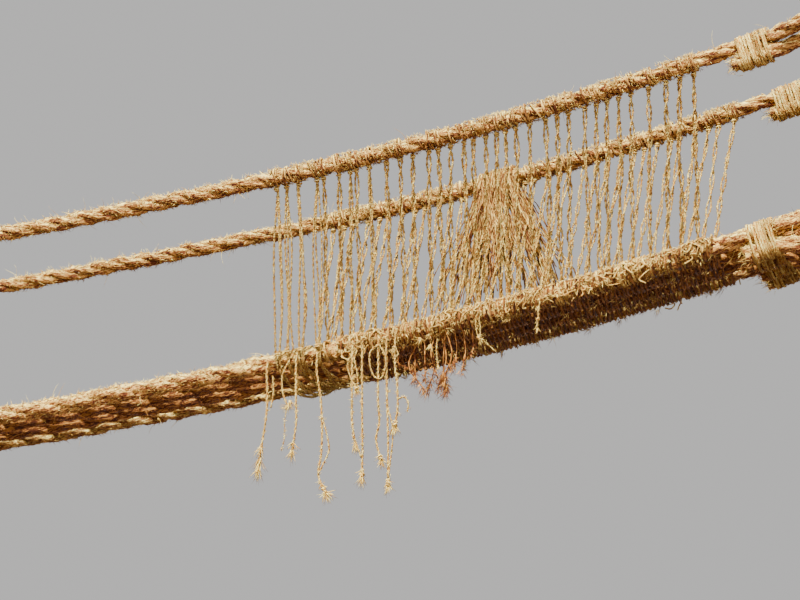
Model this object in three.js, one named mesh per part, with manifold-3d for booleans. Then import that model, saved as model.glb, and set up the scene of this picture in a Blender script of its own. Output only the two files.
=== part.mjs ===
// Rope suspension footbridge of twisted grass rope, part woven.
// Two handrail ropes and four floor ropes run from bank to bank. The side nets and the
// deck are woven only over the first stretch at each bank, and the ropes between are bare.
// Millimetres, +Z up. +X runs along the bridge to its east bank, +Y across it.
// The origin is on the foot of the east post that carries the near handrail.

import * as THREE from 'three';
import { mergeVertices } from 'three/addons/utils/BufferGeometryUtils.js';
import Module from 'manifold-3d';

const wasm = await Module();
wasm.setup();

// The whole bridge
const SPAN = 28600;
const RAIL_GAP = 1400;
const RAIL_HEIGHT = 1700;
const FLOOR_DROP = 1212;
const FLOOR_TILT = 24;
const FLOOR_WIDTH = 760;
const WOVEN_LENGTH = 4020;
const BARE_CURVE = 69250;
const WOVEN_CURVE = 27590;

// Ropes
const RAIL_RADIUS = 54;
const FLOOR_RADIUS = 63;
const FLOOR_COUNT = 4;
const ROPE_SIDES = 8;
const WOVEN_STEPS = 7;
const BARE_STEPS = 6;

// Each long rope is one rope. Its solid is in three stretches that meet at this distance
// from either post, so that the shape of each stays close to its sag.
const MEETING = 7800;

// End frames
const POST_FOOT_RADIUS = 128;
const POST_TOP_RADIUS = 108;
const POST_HEAD = 190;
const LOG_RADIUS = 140;
const LOG_LENGTH = 1960;
const WOOD_SIDES = 14;
const ROPE_BITE = 16;

// Eyes at the rope ends, and the seizings that close them
const RAIL_EYE = 420;
const FLOOR_EYE = 460;
const EYE_TAIL = 690;
const SEIZING_WALL = 12;
const RAIL_SEIZING = [440, 660];
const FLOOR_SEIZING = [480, 660];

// Side nets. The hangers are tied by eye, so their distances from the post are uneven.
// Each foot stands out along the span from its top, more so on the far side.
const HANGER_LEAN = { near: 60, far: 125 };
const HANGERS = {
  near: [
    960, 1050, 1150, 1265, 1395, 1470, 1550, 1625, 1705, 1815, 1895, 1975,
    2095, 2190, 2250, 2315, 2395, 2490, 2550, 2640, 2725, 2800, 2910, 2995,
    3095, 3215, 3300, 3350, 3425, 3540, 3590, 3715, 3810, 3875,
  ],
  far: [
    950, 1060, 1130, 1225, 1330, 1400, 1495, 1595, 1665, 1760, 1860, 1935,
    2020, 2135, 2200, 2290, 2395, 2465, 2560, 2660, 2735, 2825, 2930, 3005,
    3095, 3200, 3270, 3365, 3465, 3535, 3630, 3730, 3800, 3885,
  ],
};
const WRAP_MARGIN = 42;
const HANGER_RADIUS = 11;
const HANGER_SIDES = 4;
const NET_PANELS = 2;
const RAIL_WRAP = 12;
const EDGE_WRAP = 14;

// Deck
const LASHING_START = 910;
const LASHING_END = 3510;
const LASHING_COVER = 10;
const MAT_START = 160;
const MAT_THICKNESS = 42;
const MAT_MARGIN = 40;

// Clear gap that touching pieces keep
const GAP = 0.4;

const FLOOR_EDGE = (RAIL_GAP - FLOOR_WIDTH) / 2;
const FLOOR_PITCH = FLOOR_WIDTH / (FLOOR_COUNT - 1);
const LASHING_HALF = FLOOR_RADIUS + LASHING_COVER;

// Hanging cord ends below the near edge of the east deck, from the lashing downwards
const TAIL_RADIUS = 7;
const TAIL_SIDES = 8;
const TAIL_STEP = 42;
const TAIL_OUT = 236;
const TAIL_BEND = 6;
const TAIL_DROP = 40;
const TAILS = {
  1: [[-4009, -525], [-4007, -705], [-4022, -847], [-4041, -959], [-4068, -1151]],
  2: [[-3800, -507], [-3800, -687], [-3798, -832], [-3826, -1017]],
  3: [[-3652, -487], [-3626, -647], [-3613, -875], [-3619, -1060], [-3638, -1197], [-3590, -1317]],
  4: [[-3401, -487], [-3402, -687], [-3400, -850], [-3379, -987]],
  5: [[-3330, -467], [-3330, -640], [-3329, -847], [-3326, -1032], [-3330, -1207]],
  6: [[-3215, -487], [-3217, -687], [-3209, -859], [-3230, -968], [-3197, -1107]],
  7: [[-3158, -467], [-3153, -704], [-3146, -971], [-3146, -1277]],
  8: [[-3096, -487], [-3083, -597], [-3079, -759], [-3097, -877]],
};

const STRAW = new THREE.MeshStandardMaterial({ color: 0xd6b67e, roughness: 0.9, metalness: 0 });
const CORD = new THREE.MeshStandardMaterial({ color: 0xcaa468, roughness: 0.9, metalness: 0 });
const DECK = new THREE.MeshStandardMaterial({ color: 0x8a5f38, roughness: 0.95, metalness: 0 });
const WOOD = new THREE.MeshStandardMaterial({ color: 0x7d6a55, roughness: 0.85, metalness: 0 });

const root = new THREE.Group();

// A path through its own stations, with a section of the tube at each of them
class Stations extends THREE.Curve {
  constructor(points) {
    super();
    this.points = points;
  }

  getPoint(t, target = new THREE.Vector3()) {
    const place = t * (this.points.length - 1);
    const i = Math.min(Math.floor(place), this.points.length - 2);
    return target.lerpVectors(this.points[i], this.points[i + 1], place - i);
  }

  getPointAt(t, target) {
    return this.getPoint(t, target);
  }

  getTangentAt(t, target = new THREE.Vector3()) {
    const last = this.points.length - 1;
    const i = Math.round(t * last);
    const here = this.points[i];
    const back = here.clone().sub(this.points[Math.max(i - 1, 0)]).normalize();
    const ahead = this.points[Math.min(i + 1, last)].clone().sub(here).normalize();
    return target.addVectors(back, ahead).normalize();
  }
}

function solid(geometry) {
  geometry.deleteAttribute('normal');
  geometry.deleteAttribute('uv');
  const merged = mergeVertices(geometry, 1e-3);
  return new wasm.Manifold(new wasm.Mesh({
    numProp: 3,
    vertProperties: merged.attributes.position.array,
    triVerts: new Uint32Array(merged.index.array),
  }));
}

function addNode(name, body, material) {
  const mesh = body.getMesh();
  const geometry = new THREE.BufferGeometry();
  geometry.setAttribute('position', new THREE.BufferAttribute(mesh.vertProperties, mesh.numProp));
  geometry.setIndex(new THREE.BufferAttribute(mesh.triVerts, 1));
  geometry.computeVertexNormals();
  const node = new THREE.Mesh(geometry, material);
  node.name = name;
  root.add(node);
}

function sweep(points, shape) {
  const geometry = new THREE.ExtrudeGeometry(shape, {
    steps: points.length - 1,
    bevelEnabled: false,
    curveSegments: 4,
    extrudePath: new Stations(points),
  });
  return solid(geometry);
}

function tube(points, radius, sides) {
  const corners = [];
  for (let i = 0; i < sides; i += 1) {
    const angle = (i + 0.5) * 2 * Math.PI / sides;
    corners.push(new THREE.Vector2(radius * Math.cos(angle), radius * Math.sin(angle)));
  }
  return sweep(points, new THREE.Shape(corners));
}

// Height of the handrail's curve at a distance from its post, flat where the ropes are
// bare and tighter where they carry the nets
function curveHeight(distance) {
  const half = SPAN / 2;
  const bareHalf = half - WOVEN_LENGTH;
  const rise = (fromMiddle) => {
    const bare = Math.min(fromMiddle, bareHalf);
    const woven = fromMiddle - bare;
    return bare ** 2 / (2 * BARE_CURVE) + woven * bare / BARE_CURVE + woven ** 2 / (2 * WOVEN_CURVE);
  };
  return RAIL_HEIGHT - rise(half) + rise(half - distance);
}

// Distances from the post at which every rope has a section, up to mid-span
function stationList() {
  const distances = [0, RAIL_EYE];
  for (let i = 0; i <= WOVEN_STEPS; i += 1) {
    distances.push(EYE_TAIL + (WOVEN_LENGTH - EYE_TAIL) * i / WOVEN_STEPS);
  }
  for (let i = 1; i <= BARE_STEPS; i += 1) {
    distances.push(WOVEN_LENGTH + (SPAN / 2 - WOVEN_LENGTH) * i / BARE_STEPS);
  }
  return distances;
}

const STATIONS = stationList();
const STATION_HEIGHTS = STATIONS.map(curveHeight);

// Height of the handrail between its sections, so that what is wound round it fits it
function railHeight(distance) {
  let i = 1;
  while (i < STATIONS.length - 1 && STATIONS[i] < distance) {
    i += 1;
  }
  const part = (distance - STATIONS[i - 1]) / (STATIONS[i] - STATIONS[i - 1]);
  return STATION_HEIGHTS[i - 1] + part * (STATION_HEIGHTS[i] - STATION_HEIGHTS[i - 1]);
}

const END_SLOPE = (STATION_HEIGHTS[0] - STATION_HEIGHTS[1]) / RAIL_EYE;

// Sections of anything that follows the ropes over one range
function within(start, end) {
  return [start, ...STATIONS.filter((distance) => distance > start && distance < end), end];
}

function floorHeight(distance, rope) {
  const tilt = FLOOR_TILT * rope / (FLOOR_COUNT - 1) * Math.min(1, distance / EYE_TAIL);
  return railHeight(distance) - FLOOR_DROP - tilt;
}

function floorSide(rope) {
  return FLOOR_EDGE + rope * FLOOR_PITCH;
}

// A point at a distance from the post of either bank
function placed(bank, distance, y, z) {
  const x = bank === 'east' ? -distance : -SPAN + distance;
  return new THREE.Vector3(x, y, z);
}

// The cross log lies behind the posts, against them, with the floor ropes over it
function logCentre() {
  const reach = LOG_RADIUS + FLOOR_RADIUS - ROPE_BITE;
  const lean = Math.atan(END_SLOPE);
  const behind = POST_FOOT_RADIUS + LOG_RADIUS;
  const touchX = behind - reach * Math.sin(lean);
  const touchZ = railHeight(0) - FLOOR_DROP + END_SLOPE * touchX;
  return { x: behind, z: touchZ - reach * Math.cos(lean), lean, reach };
}

// Stations of a floor rope at one bank, from the end of its returned leg, under and round
// the log, and out along the span
function floorEndPath(bank, rope) {
  const log = logCentre();
  const y = floorSide(rope);
  const double = 2 * FLOOR_RADIUS + 1;
  const points = [];
  for (const distance of [EYE_TAIL, FLOOR_SEIZING[1], FLOOR_EYE]) {
    points.push(placed(bank, distance, y, floorHeight(distance, rope) - double));
  }
  const meet = { x: -FLOOR_EYE, z: floorHeight(FLOOR_EYE, rope) - double };
  const away = { x: log.x - meet.x, z: log.z - meet.z };
  const between = Math.hypot(away.x, away.z);
  const heading = Math.atan2(away.z, away.x) - Math.asin(log.reach / between);
  const first = heading - Math.PI / 2;
  const last = Math.PI / 2 + log.lean;
  const turns = 7;
  for (let i = 0; i <= turns; i += 1) {
    const angle = first + (last - first) * i / turns;
    const x = log.x + log.reach * Math.cos(angle);
    points.push(placed(bank, -x, y, log.z + log.reach * Math.sin(angle)));
  }
  const height = (distance) => floorHeight(distance, rope);
  return points.concat(spanPath(bank, 0, MEETING - GAP / 2, y, height));
}

// Stations of a handrail at one bank, from the end of its returned leg, round the post,
// and out along the span
function railEndPath(bank, y) {
  const double = 2 * RAIL_RADIUS + 1;
  const reach = (POST_TOP_RADIUS + POST_FOOT_RADIUS) / 2 + RAIL_RADIUS - ROPE_BITE;
  const side = Math.asin(reach / RAIL_EYE);
  const points = [];
  for (const distance of [EYE_TAIL, RAIL_SEIZING[1], RAIL_EYE]) {
    points.push(placed(bank, distance, y, railHeight(distance) - double));
  }
  const inward = y < RAIL_GAP / 2 ? 1 : -1;
  const turns = 8;
  const low = railHeight(0) - RAIL_RADIUS;
  const high = railHeight(0);
  for (let i = 0; i <= turns; i += 1) {
    const part = i / turns;
    const angle = (Math.PI / 2 + side) * (1 - 2 * part);
    const distance = -reach * Math.cos(angle);
    const across = y + inward * reach * Math.sin(angle);
    points.push(placed(bank, distance, across, low + (high - low) * part));
  }
  return points.concat(spanPath(bank, RAIL_EYE, MEETING - GAP / 2, y, railHeight));
}

// Stations of a rope between two distances from the post
function spanPath(bank, start, end, y, height) {
  return within(start, end).map((distance) => placed(bank, distance, y, height(distance)));
}

function middleStretch(radius, y, height) {
  const east = spanPath('east', MEETING + GAP / 2, SPAN / 2, y, height);
  const west = spanPath('west', MEETING + GAP / 2, SPAN / 2, y, height);
  return tube(east.concat(west.reverse().slice(1)), radius, ROPE_SIDES);
}

// Cord wound round both legs of an eye
function seizing(bank, range, radius, y, height, grow) {
  const offset = radius + 0.5;
  const half = radius + SEIZING_WALL + grow;
  const shape = new THREE.Shape();
  shape.absarc(0, offset, half, 0, Math.PI, false);
  shape.absarc(0, -offset, half, Math.PI, 2 * Math.PI, false);
  const ends = [range[0] - grow, range[1] + grow];
  return sweep(ends.map((distance) => placed(bank, distance, y, height(distance) - offset)), shape);
}

function floorRopeEnd(bank, rope, grow) {
  const height = (distance) => floorHeight(distance, rope);
  const body = tube(floorEndPath(bank, rope), FLOOR_RADIUS + grow, ROPE_SIDES);
  return body.add(seizing(bank, FLOOR_SEIZING, FLOOR_RADIUS, floorSide(rope), height, grow));
}

function handrailEnd(bank, y, grow) {
  const body = tube(railEndPath(bank, y), RAIL_RADIUS + grow, ROPE_SIDES);
  return body.add(seizing(bank, RAIL_SEIZING, RAIL_RADIUS, y, railHeight, grow));
}

// Distances from the post of the hangers of one net panel
function panelHangers(side, panel) {
  const all = HANGERS[side];
  return all.slice(all.length * panel / NET_PANELS, all.length * (panel + 1) / NET_PANELS);
}

// The turns along the edge rope, under the hangers' feet, for one range of their tops
function edgeWrap(bank, side, range, grow) {
  const rope = side === 'near' ? 0 : FLOOR_COUNT - 1;
  const start = range[0] + HANGER_LEAN[side] - grow;
  const end = range[1] + HANGER_LEAN[side] + grow;
  const points = within(start, end).map((distance) => (
    placed(bank, distance, floorSide(rope), floorHeight(distance, rope))));
  return tube(points, FLOOR_RADIUS + EDGE_WRAP + grow, ROPE_SIDES);
}

// The stretch of a net that one panel's turns cover: panels meet halfway between hangers
function panelRange(side, panel) {
  const all = HANGERS[side];
  const first = all.length * panel / NET_PANELS;
  const end = all.length * (panel + 1) / NET_PANELS;
  const start = panel === 0 ? all[0] - WRAP_MARGIN : (all[first - 1] + all[first]) / 2 + 1;
  const stop = panel === NET_PANELS - 1 ? all[end - 1] + WRAP_MARGIN : (all[end - 1] + all[end]) / 2 - 1;
  return [start, stop];
}

function wholeNet(side) {
  return [panelRange(side, 0)[0], panelRange(side, NET_PANELS - 1)[1]];
}

// A side net: cord wound along the handrail and the edge rope, and the hangers between
function netPanel(bank, side, panel, railCut, edgeCut) {
  const rope = side === 'near' ? 0 : FLOOR_COUNT - 1;
  const railSide = side === 'near' ? 0 : RAIL_GAP;
  const range = panelRange(side, panel);
  const railPoints = within(...range).map((distance) => (
    placed(bank, distance, railSide, railHeight(distance))));
  let body = tube(railPoints, RAIL_RADIUS + RAIL_WRAP, ROPE_SIDES);
  body = body.add(edgeWrap(bank, side, range, 0));
  for (const distance of panelHangers(side, panel)) {
    const low = distance + HANGER_LEAN[side];
    const top = placed(bank, distance, railSide, railHeight(distance));
    const foot = placed(bank, low, floorSide(rope), floorHeight(low, rope));
    const down = foot.clone().sub(top).normalize();
    top.addScaledVector(down, RAIL_RADIUS + RAIL_WRAP / 3);
    foot.addScaledVector(down, -FLOOR_RADIUS - EDGE_WRAP / 3);
    body = body.add(tube([top, foot], HANGER_RADIUS, HANGER_SIDES));
  }
  return body.subtract(railCut).subtract(edgeCut);
}

// A flat band across the floor ropes, between two heights above their centres
function deckBand(bank, start, end, low, high, margin) {
  const points = within(start, end).map((distance) => {
    const middle = (floorHeight(distance, 0) + floorHeight(distance, FLOOR_COUNT - 1)) / 2;
    return placed(bank, distance, RAIL_GAP / 2, middle + (low + high) / 2);
  });
  const wide = FLOOR_WIDTH / 2 - margin;
  const tall = (high - low) / 2;
  const shape = new THREE.Shape([
    new THREE.Vector2(-wide, -tall),
    new THREE.Vector2(wide, -tall),
    new THREE.Vector2(wide, tall),
    new THREE.Vector2(-wide, tall),
  ]);
  return sweep(points, shape);
}

function post(railCut, side) {
  const tall = RAIL_HEIGHT + POST_HEAD;
  const geometry = new THREE.CylinderGeometry(POST_TOP_RADIUS, POST_FOOT_RADIUS, tall, WOOD_SIDES);
  geometry.rotateX(Math.PI / 2);
  geometry.translate(side.x, side.y, tall / 2);
  return solid(geometry).subtract(railCut);
}

function crossLog(bank, ropeCuts) {
  const log = logCentre();
  const geometry = new THREE.CylinderGeometry(LOG_RADIUS, LOG_RADIUS, LOG_LENGTH, WOOD_SIDES);
  const centre = placed(bank, -log.x - GAP, RAIL_GAP / 2, log.z);
  geometry.translate(centre.x, centre.y, centre.z);
  let body = solid(geometry);
  for (const cut of ropeCuts) {
    body = body.subtract(cut);
  }
  return body;
}

function hangingTail(points, edge) {
  const top = railHeight(-points[0][0]) - FLOOR_DROP;
  const anchors = [
    new THREE.Vector3(points[0][0], FLOOR_EDGE - FLOOR_RADIUS / 2, top),
    new THREE.Vector3(points[0][0], TAIL_OUT + TAIL_BEND, top - TAIL_BEND),
    new THREE.Vector3(points[0][0], TAIL_OUT, top - TAIL_DROP),
  ];
  for (const [x, z] of points) {
    anchors.push(new THREE.Vector3(x, TAIL_OUT, z));
  }
  const curve = new THREE.CatmullRomCurve3(anchors, false, 'centripetal');
  const steps = Math.round(curve.getLength() / TAIL_STEP);
  return tube(curve.getSpacedPoints(steps), TAIL_RADIUS, TAIL_SIDES).subtract(edge);
}

const SIDES = { near: 0, far: RAIL_GAP };
for (const [side, y] of Object.entries(SIDES)) {
  addNode(`handrail_${side}_middle`, middleStretch(RAIL_RADIUS, y, railHeight), STRAW);
}
for (let rope = 0; rope < FLOOR_COUNT; rope += 1) {
  const height = (distance) => floorHeight(distance, rope);
  const body = middleStretch(FLOOR_RADIUS, floorSide(rope), height);
  addNode(`floor_rope_${rope + 1}_middle`, body, STRAW);
}

for (const bank of ['east', 'west']) {
  const floorCuts = [];
  for (let rope = 0; rope < FLOOR_COUNT; rope += 1) {
    addNode(`floor_rope_${rope + 1}_${bank}`, floorRopeEnd(bank, rope, 0), STRAW);
    floorCuts.push(floorRopeEnd(bank, rope, GAP));
  }
  const edgeCuts = { near: floorCuts[0], far: floorCuts[FLOOR_COUNT - 1] };
  for (const [side, y] of Object.entries(SIDES)) {
    addNode(`handrail_${side}_${bank}`, handrailEnd(bank, y, 0), STRAW);
    const railCut = handrailEnd(bank, y, GAP);
    addNode(`post_${bank}_${side}`, post(railCut, placed(bank, 0, y, 0)), WOOD);
    for (let panel = 0; panel < NET_PANELS; panel += 1) {
      const body = netPanel(bank, side, panel, railCut, edgeCuts[side]);
      addNode(`side_net_${bank}_${side}_${panel + 1}`, body, CORD);
    }
  }
  addNode(`cross_log_${bank}`, crossLog(bank, floorCuts), WOOD);

  let lashing = deckBand(bank, LASHING_START, LASHING_END, -LASHING_HALF, LASHING_HALF, 0);
  let mat = deckBand(bank, MAT_START, LASHING_END, FLOOR_RADIUS / 2,
    LASHING_HALF + MAT_THICKNESS, MAT_MARGIN);
  const cover = deckBand(bank, LASHING_START - GAP, LASHING_END + MAT_MARGIN,
    -LASHING_HALF, LASHING_HALF + GAP, 0);
  mat = mat.subtract(cover);
  for (const side of ['near', 'far']) {
    const wrap = edgeWrap(bank, side, wholeNet(side), GAP);
    lashing = lashing.subtract(wrap);
    mat = mat.subtract(wrap);
  }
  for (const cut of floorCuts) {
    lashing = lashing.subtract(cut);
    mat = mat.subtract(cut);
  }
  addNode(`deck_lashing_${bank}`, lashing, DECK);
  addNode(`deck_mat_${bank}`, mat, DECK);
}

const tailCut = edgeWrap('east', 'near', wholeNet('near'), GAP).add(floorRopeEnd('east', 0, GAP));
for (const [number, points] of Object.entries(TAILS)) {
  addNode(`hanging_tail_${number}`, hangingTail(points, tailCut), CORD);
}

export default root;
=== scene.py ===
import math
from functools import partial

import bpy
import numpy as np
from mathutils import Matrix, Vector


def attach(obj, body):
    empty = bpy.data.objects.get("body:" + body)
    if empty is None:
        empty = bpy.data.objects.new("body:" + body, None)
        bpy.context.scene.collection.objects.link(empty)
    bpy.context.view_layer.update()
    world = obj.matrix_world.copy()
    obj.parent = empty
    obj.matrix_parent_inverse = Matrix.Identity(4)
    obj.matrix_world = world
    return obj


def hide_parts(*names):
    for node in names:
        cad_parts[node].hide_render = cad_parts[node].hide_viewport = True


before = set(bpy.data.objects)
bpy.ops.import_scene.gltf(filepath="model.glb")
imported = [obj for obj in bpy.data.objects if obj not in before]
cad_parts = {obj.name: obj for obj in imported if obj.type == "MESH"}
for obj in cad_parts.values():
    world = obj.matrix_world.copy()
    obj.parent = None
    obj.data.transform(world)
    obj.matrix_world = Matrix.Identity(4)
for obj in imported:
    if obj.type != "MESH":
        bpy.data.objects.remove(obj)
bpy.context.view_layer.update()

# A rope suspension footbridge of twisted grass rope, woven only near its banks.
# Metres, +Z up, +X along the bridge to its east bank, +Y from the near handrail to the far.

# The whole bridge
SPAN = 28.6
RAIL_GAP = 1.4
RAIL_HEIGHT = 1.7
FLOOR_DROP = 1.212
FLOOR_TILT = 0.024
FLOOR_WIDTH = 0.76
FLOOR_COUNT = 4
WOVEN_LENGTH = 4.02
BARE_CURVE = 69.25
WOVEN_CURVE = 27.59
FLOOR_EDGE = (RAIL_GAP - FLOOR_WIDTH) / 2
FLOOR_PITCH = FLOOR_WIDTH / (FLOOR_COUNT - 1)

UP = np.array([0.0, 0.0, 1.0])
ACROSS = np.array([0.0, 1.0, 0.0])
ALONG = np.array([1.0, 0.0, 0.0])

# Its two banks and two sides. The camera sees the east one close up
BANKS = ("east", "west")
SEEN_BANK = "east"
TOWARDS_BANK = {"east": ALONG, "west": -ALONG}
SIDES = ("near", "far")
OUTWARD = {"near": -ACROSS, "far": ACROSS}
RAIL_Y = {"near": 0.0, "far": RAIL_GAP}
EDGE_ROPE = {"near": 0, "far": FLOOR_COUNT - 1}

# Material slots of a piece: its own stuff, its loose fibres, another rope or cord, and shaded fibres
BODY, HAIR, EXTRA, SHADED = range(4)

# The seed of each kind of piece, which its number is added to
SEEDS = {
    "handrail": 11, "floor_rope": 21, "net_east": 40, "net_west": 50,
    "lashing_east": 60, "lashing_west": 61, "mat_east": 70, "mat_west": 71, "tail": 80, "fray": 90,
    "post_east": 100, "post_west": 110, "log_east": 120, "log_west": 121,
}

# Ropes and the wood that holds them
RAIL_RADIUS = 0.054
FLOOR_RADIUS = 0.063
POST_FOOT_RADIUS = 0.128
POST_TOP_RADIUS = 0.108
POST_HEAD = 0.19
LOG_RADIUS = 0.14
LOG_LENGTH = 1.96
LOG_START = (RAIL_GAP - LOG_LENGTH) / 2
ROPE_BITE = 0.016
RAIL_EYE = 0.42
FLOOR_EYE = 0.46
EYE_TAIL = 0.69
RAIL_SEIZING = (0.44, 0.66)
FLOOR_SEIZING = (0.48, 0.66)
SEIZING_THICK = 0.0092
STRAND_SIDES = 8

# Side nets and deck: distances from the post of each hanger, tied by eye
HANGERS = {
    "near": [
        0.960, 1.050, 1.150, 1.265, 1.395, 1.470, 1.550, 1.625, 1.705, 1.815, 1.895, 1.975,
        2.095, 2.190, 2.250, 2.315, 2.395, 2.490, 2.550, 2.640, 2.725, 2.800, 2.910, 2.995,
        3.095, 3.215, 3.300, 3.350, 3.425, 3.540, 3.590, 3.715, 3.810, 3.875,
    ],
    "far": [
        0.950, 1.060, 1.130, 1.225, 1.330, 1.400, 1.495, 1.595, 1.665, 1.760, 1.860, 1.935,
        2.020, 2.135, 2.200, 2.290, 2.395, 2.465, 2.560, 2.660, 2.735, 2.825, 2.930, 3.005,
        3.095, 3.200, 3.270, 3.365, 3.465, 3.535, 3.630, 3.730, 3.800, 3.885,
    ],
}
LOOSE_HANGERS = 4
NET_MARGIN = 0.042
CORD_RADIUS = 0.0103
PAIR_GAP = 0.0106
WRAP_RADIUS = 0.0090
HANGER_LEAN = {"near": 0.060, "far": 0.125}
HANGER_STEP = {"near": 0.0145, "far": 0.018}
UNSEEN_HANGER_STEP = 0.07
FAR_STEEP = 2.7
SKEIN_WEST = -2.80
SKEIN_EAST = -2.53
SKEIN_CORDS = 104
RAGGED_TUFTS = 34
RAGGED_BIGHTS = 56
LASHING_START = 0.91
LASHING_END = 3.51
LASHING_RADIUS = 0.0095
PASS_SPACING = {"east": 0.0155, "west": 0.028}
PASS_SAMPLES = {"east": 28, "west": 19}
PASS_FUZZ = 16
EDGE_BIGHTS = {"near": 66, "far": 24}
SIDE_TUFTS = 110
MAT_START = 0.16
MAT_MARGIN = 0.04
MAT_THINS = 1.8
LASHING_HALF = FLOOR_RADIUS + 0.01
STICKS = {"east": 120, "west": 70}
STRAWS = {"east": 1200, "west": 500}

# How a hanger is hitched to a rope: the rope's radius, the darkest turn's tone, and its material slot
RAIL_HITCH = (RAIL_RADIUS, 0.6, EXTRA)
EDGE_HITCH = (FLOOR_RADIUS, 0.1, BODY)

# Tint of the painted shade in a crease against the open grass, places of a palette's three colours, and the
# timber's colours
CREASE_SHADE = (0.31, 0.18, 0.09)
PALETTE_PLACES = (0.25, 0.52, 0.78)
TIMBER = [(0.30, (0.10, 0.07, 0.05)), (0.50, (0.30, 0.24, 0.18)), (0.70, (0.55, 0.47, 0.37))]
TIMBER_CRACK = (0.05, 0.035, 0.025)
TIMBER_RINGS = [(0.2, (0.22, 0.15, 0.09)), (0.8, (0.46, 0.36, 0.24))]
RING_WIDTH = 0.007
TIMBER_SIDES = 36

# The photograph's frame and its camera
IMAGE_WIDTH = 800
FOCAL_PIXELS = 3751.6
SENSOR = 36.0
LOOK_AT = Vector((-3.195, 0.70, 0.078))
CAMERA_DISTANCE = 26.0
CAMERA_AZIMUTH = math.radians(16)
CAMERA_PITCH = math.radians(11.286)
CAMERA_REACH = 200.0

# Lamps: energy, width of the sun and its turn in degrees, colour. Then the sky and the studio's floor
LAMPS = {
    "key": (13.0, 4.0, (34, -12, 8), (1.0, 0.95, 0.80)),
    "fill": (4.2, 40.0, (92, 0, 20), (1.0, 0.84, 0.68)),
}
SKY_STRENGTH = 0.70
SKY_BELOW = (0.30, 0.17, 0.10, 1)
SKY_ABOVE = (0.83, 0.82, 0.81, 1)
SKY_TURNS = (-0.35, -0.02)
STUDIO_HALF = 400.0
STUDIO_FLOOR = -6.3
STUDIO_TINTS = [(0.3, (0.70, 0.70, 0.69)), (0.7, (0.73, 0.73, 0.72))]

# The stretch of the bridge that the camera sees close up, and how hairy the rest is
SEEN_WEST = -6.40
BARE_RAIL = -3.86
BARE_FLOOR = -3.50
MIDDLE_WEST = -(SPAN - 4.4)
WOVEN_HAIR = 0.25
UNSEEN_HAIR = 0.02
OUTER_STEP = 0.018
INNER_STEP = 0.028
MIDDLE_STEP = 0.13
WEST_STEP = 0.07

# Unevenness of a strand's surface, as a part of its radius
UNEVEN = 0.09

# Half the distance over which a rope's own direction is taken, and the waves in a smooth random line
NEARBY = 0.005
WAVES = 4

# Hairs of a rope: shortest, longest and width
HAIR_SHORTEST, HAIR_LONGEST, HAIR_WIDTH = 0.014, 0.048, 0.0056

# Shaggy fibres: shortest, longest, width, how far they point up, and how far out of the rope
SHAG = {
    "seizing": (0.012, 0.040, 0.0052, 0.0, 0.7),
    "rail": (0.012, 0.036, 0.0050, 0.1, 1.2),
    "edge": (0.014, 0.046, 0.0056, 0.05, 0.9),
}
RAIL_SHAG = {"east": 5000, "west": 200}
EDGE_SHAG = {"near": 4300, "far": 1400}

# Each rope: thickness of a strand for its radius, lay, how far the painted shade in its creases is lifted, as
# matting would fill them, and its hairs a metre
RAIL_LOOKS = (0.55, 0.56, 0.30, 1900)
FLOOR_LOOKS = [
    (0.62, 0.90, 0.60, 2200),
    (0.58, 0.84, 0.50, 420),
    (0.58, 0.88, 0.50, 420),
    (0.54, 0.70, 0.38, 1100),
]

# Hanging cord ends below the near edge of the east deck: along the bridge, and height
TAIL_SKIN = 0.0085
TAIL_OUT = 0.236
TAIL_STEP = 0.008
TAILS = {
    1: [(-4.009, -0.525), (-4.007, -0.705), (-4.022, -0.847), (-4.041, -0.959), (-4.068, -1.151)],
    2: [(-3.800, -0.507), (-3.800, -0.687), (-3.798, -0.832), (-3.826, -1.017)],
    3: [(-3.652, -0.487), (-3.626, -0.647), (-3.613, -0.875), (-3.619, -1.060), (-3.638, -1.197),
        (-3.590, -1.317)],
    4: [(-3.401, -0.487), (-3.402, -0.687), (-3.400, -0.850), (-3.379, -0.987)],
    5: [(-3.330, -0.467), (-3.330, -0.640), (-3.329, -0.847), (-3.326, -1.032), (-3.330, -1.207)],
    6: [(-3.215, -0.487), (-3.217, -0.687), (-3.209, -0.859), (-3.230, -0.968), (-3.197, -1.107)],
    7: [(-3.158, -0.467), (-3.153, -0.704), (-3.146, -0.971), (-3.146, -1.277)],
    8: [(-3.096, -0.487), (-3.083, -0.597), (-3.079, -0.759), (-3.097, -0.877)],
}
TAIL_ENDS = {1: "bare", 2: "bare", 3: "knot", 4: "bare", 5: "knot", 6: "knot", 7: "knot", 8: "knot"}

# Second legs and slack loops beside some of the cord ends
SIDE_LEGS = {
    1: [[(-3.965, -0.500), (-3.960, -0.610), (-3.978, -0.720)]],
    2: [[(-3.850, -0.400), (-3.896, -0.500), (-3.892, -0.620), (-3.862, -0.700)]],
    3: [[(-3.613, -0.800), (-3.578, -0.920), (-3.562, -1.030), (-3.600, -1.120), (-3.636, -1.190)]],
    4: [[(-3.379, -0.970), (-3.352, -1.040), (-3.333, -1.090)]],
    7: [[(-3.146, -0.760), (-3.116, -0.870), (-3.112, -0.970), (-3.128, -1.120), (-3.144, -1.240)]],
    8: [[(-3.075, -0.700), (-3.030, -0.690), (-3.002, -0.735), (-3.008, -0.790)]],
}

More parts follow.
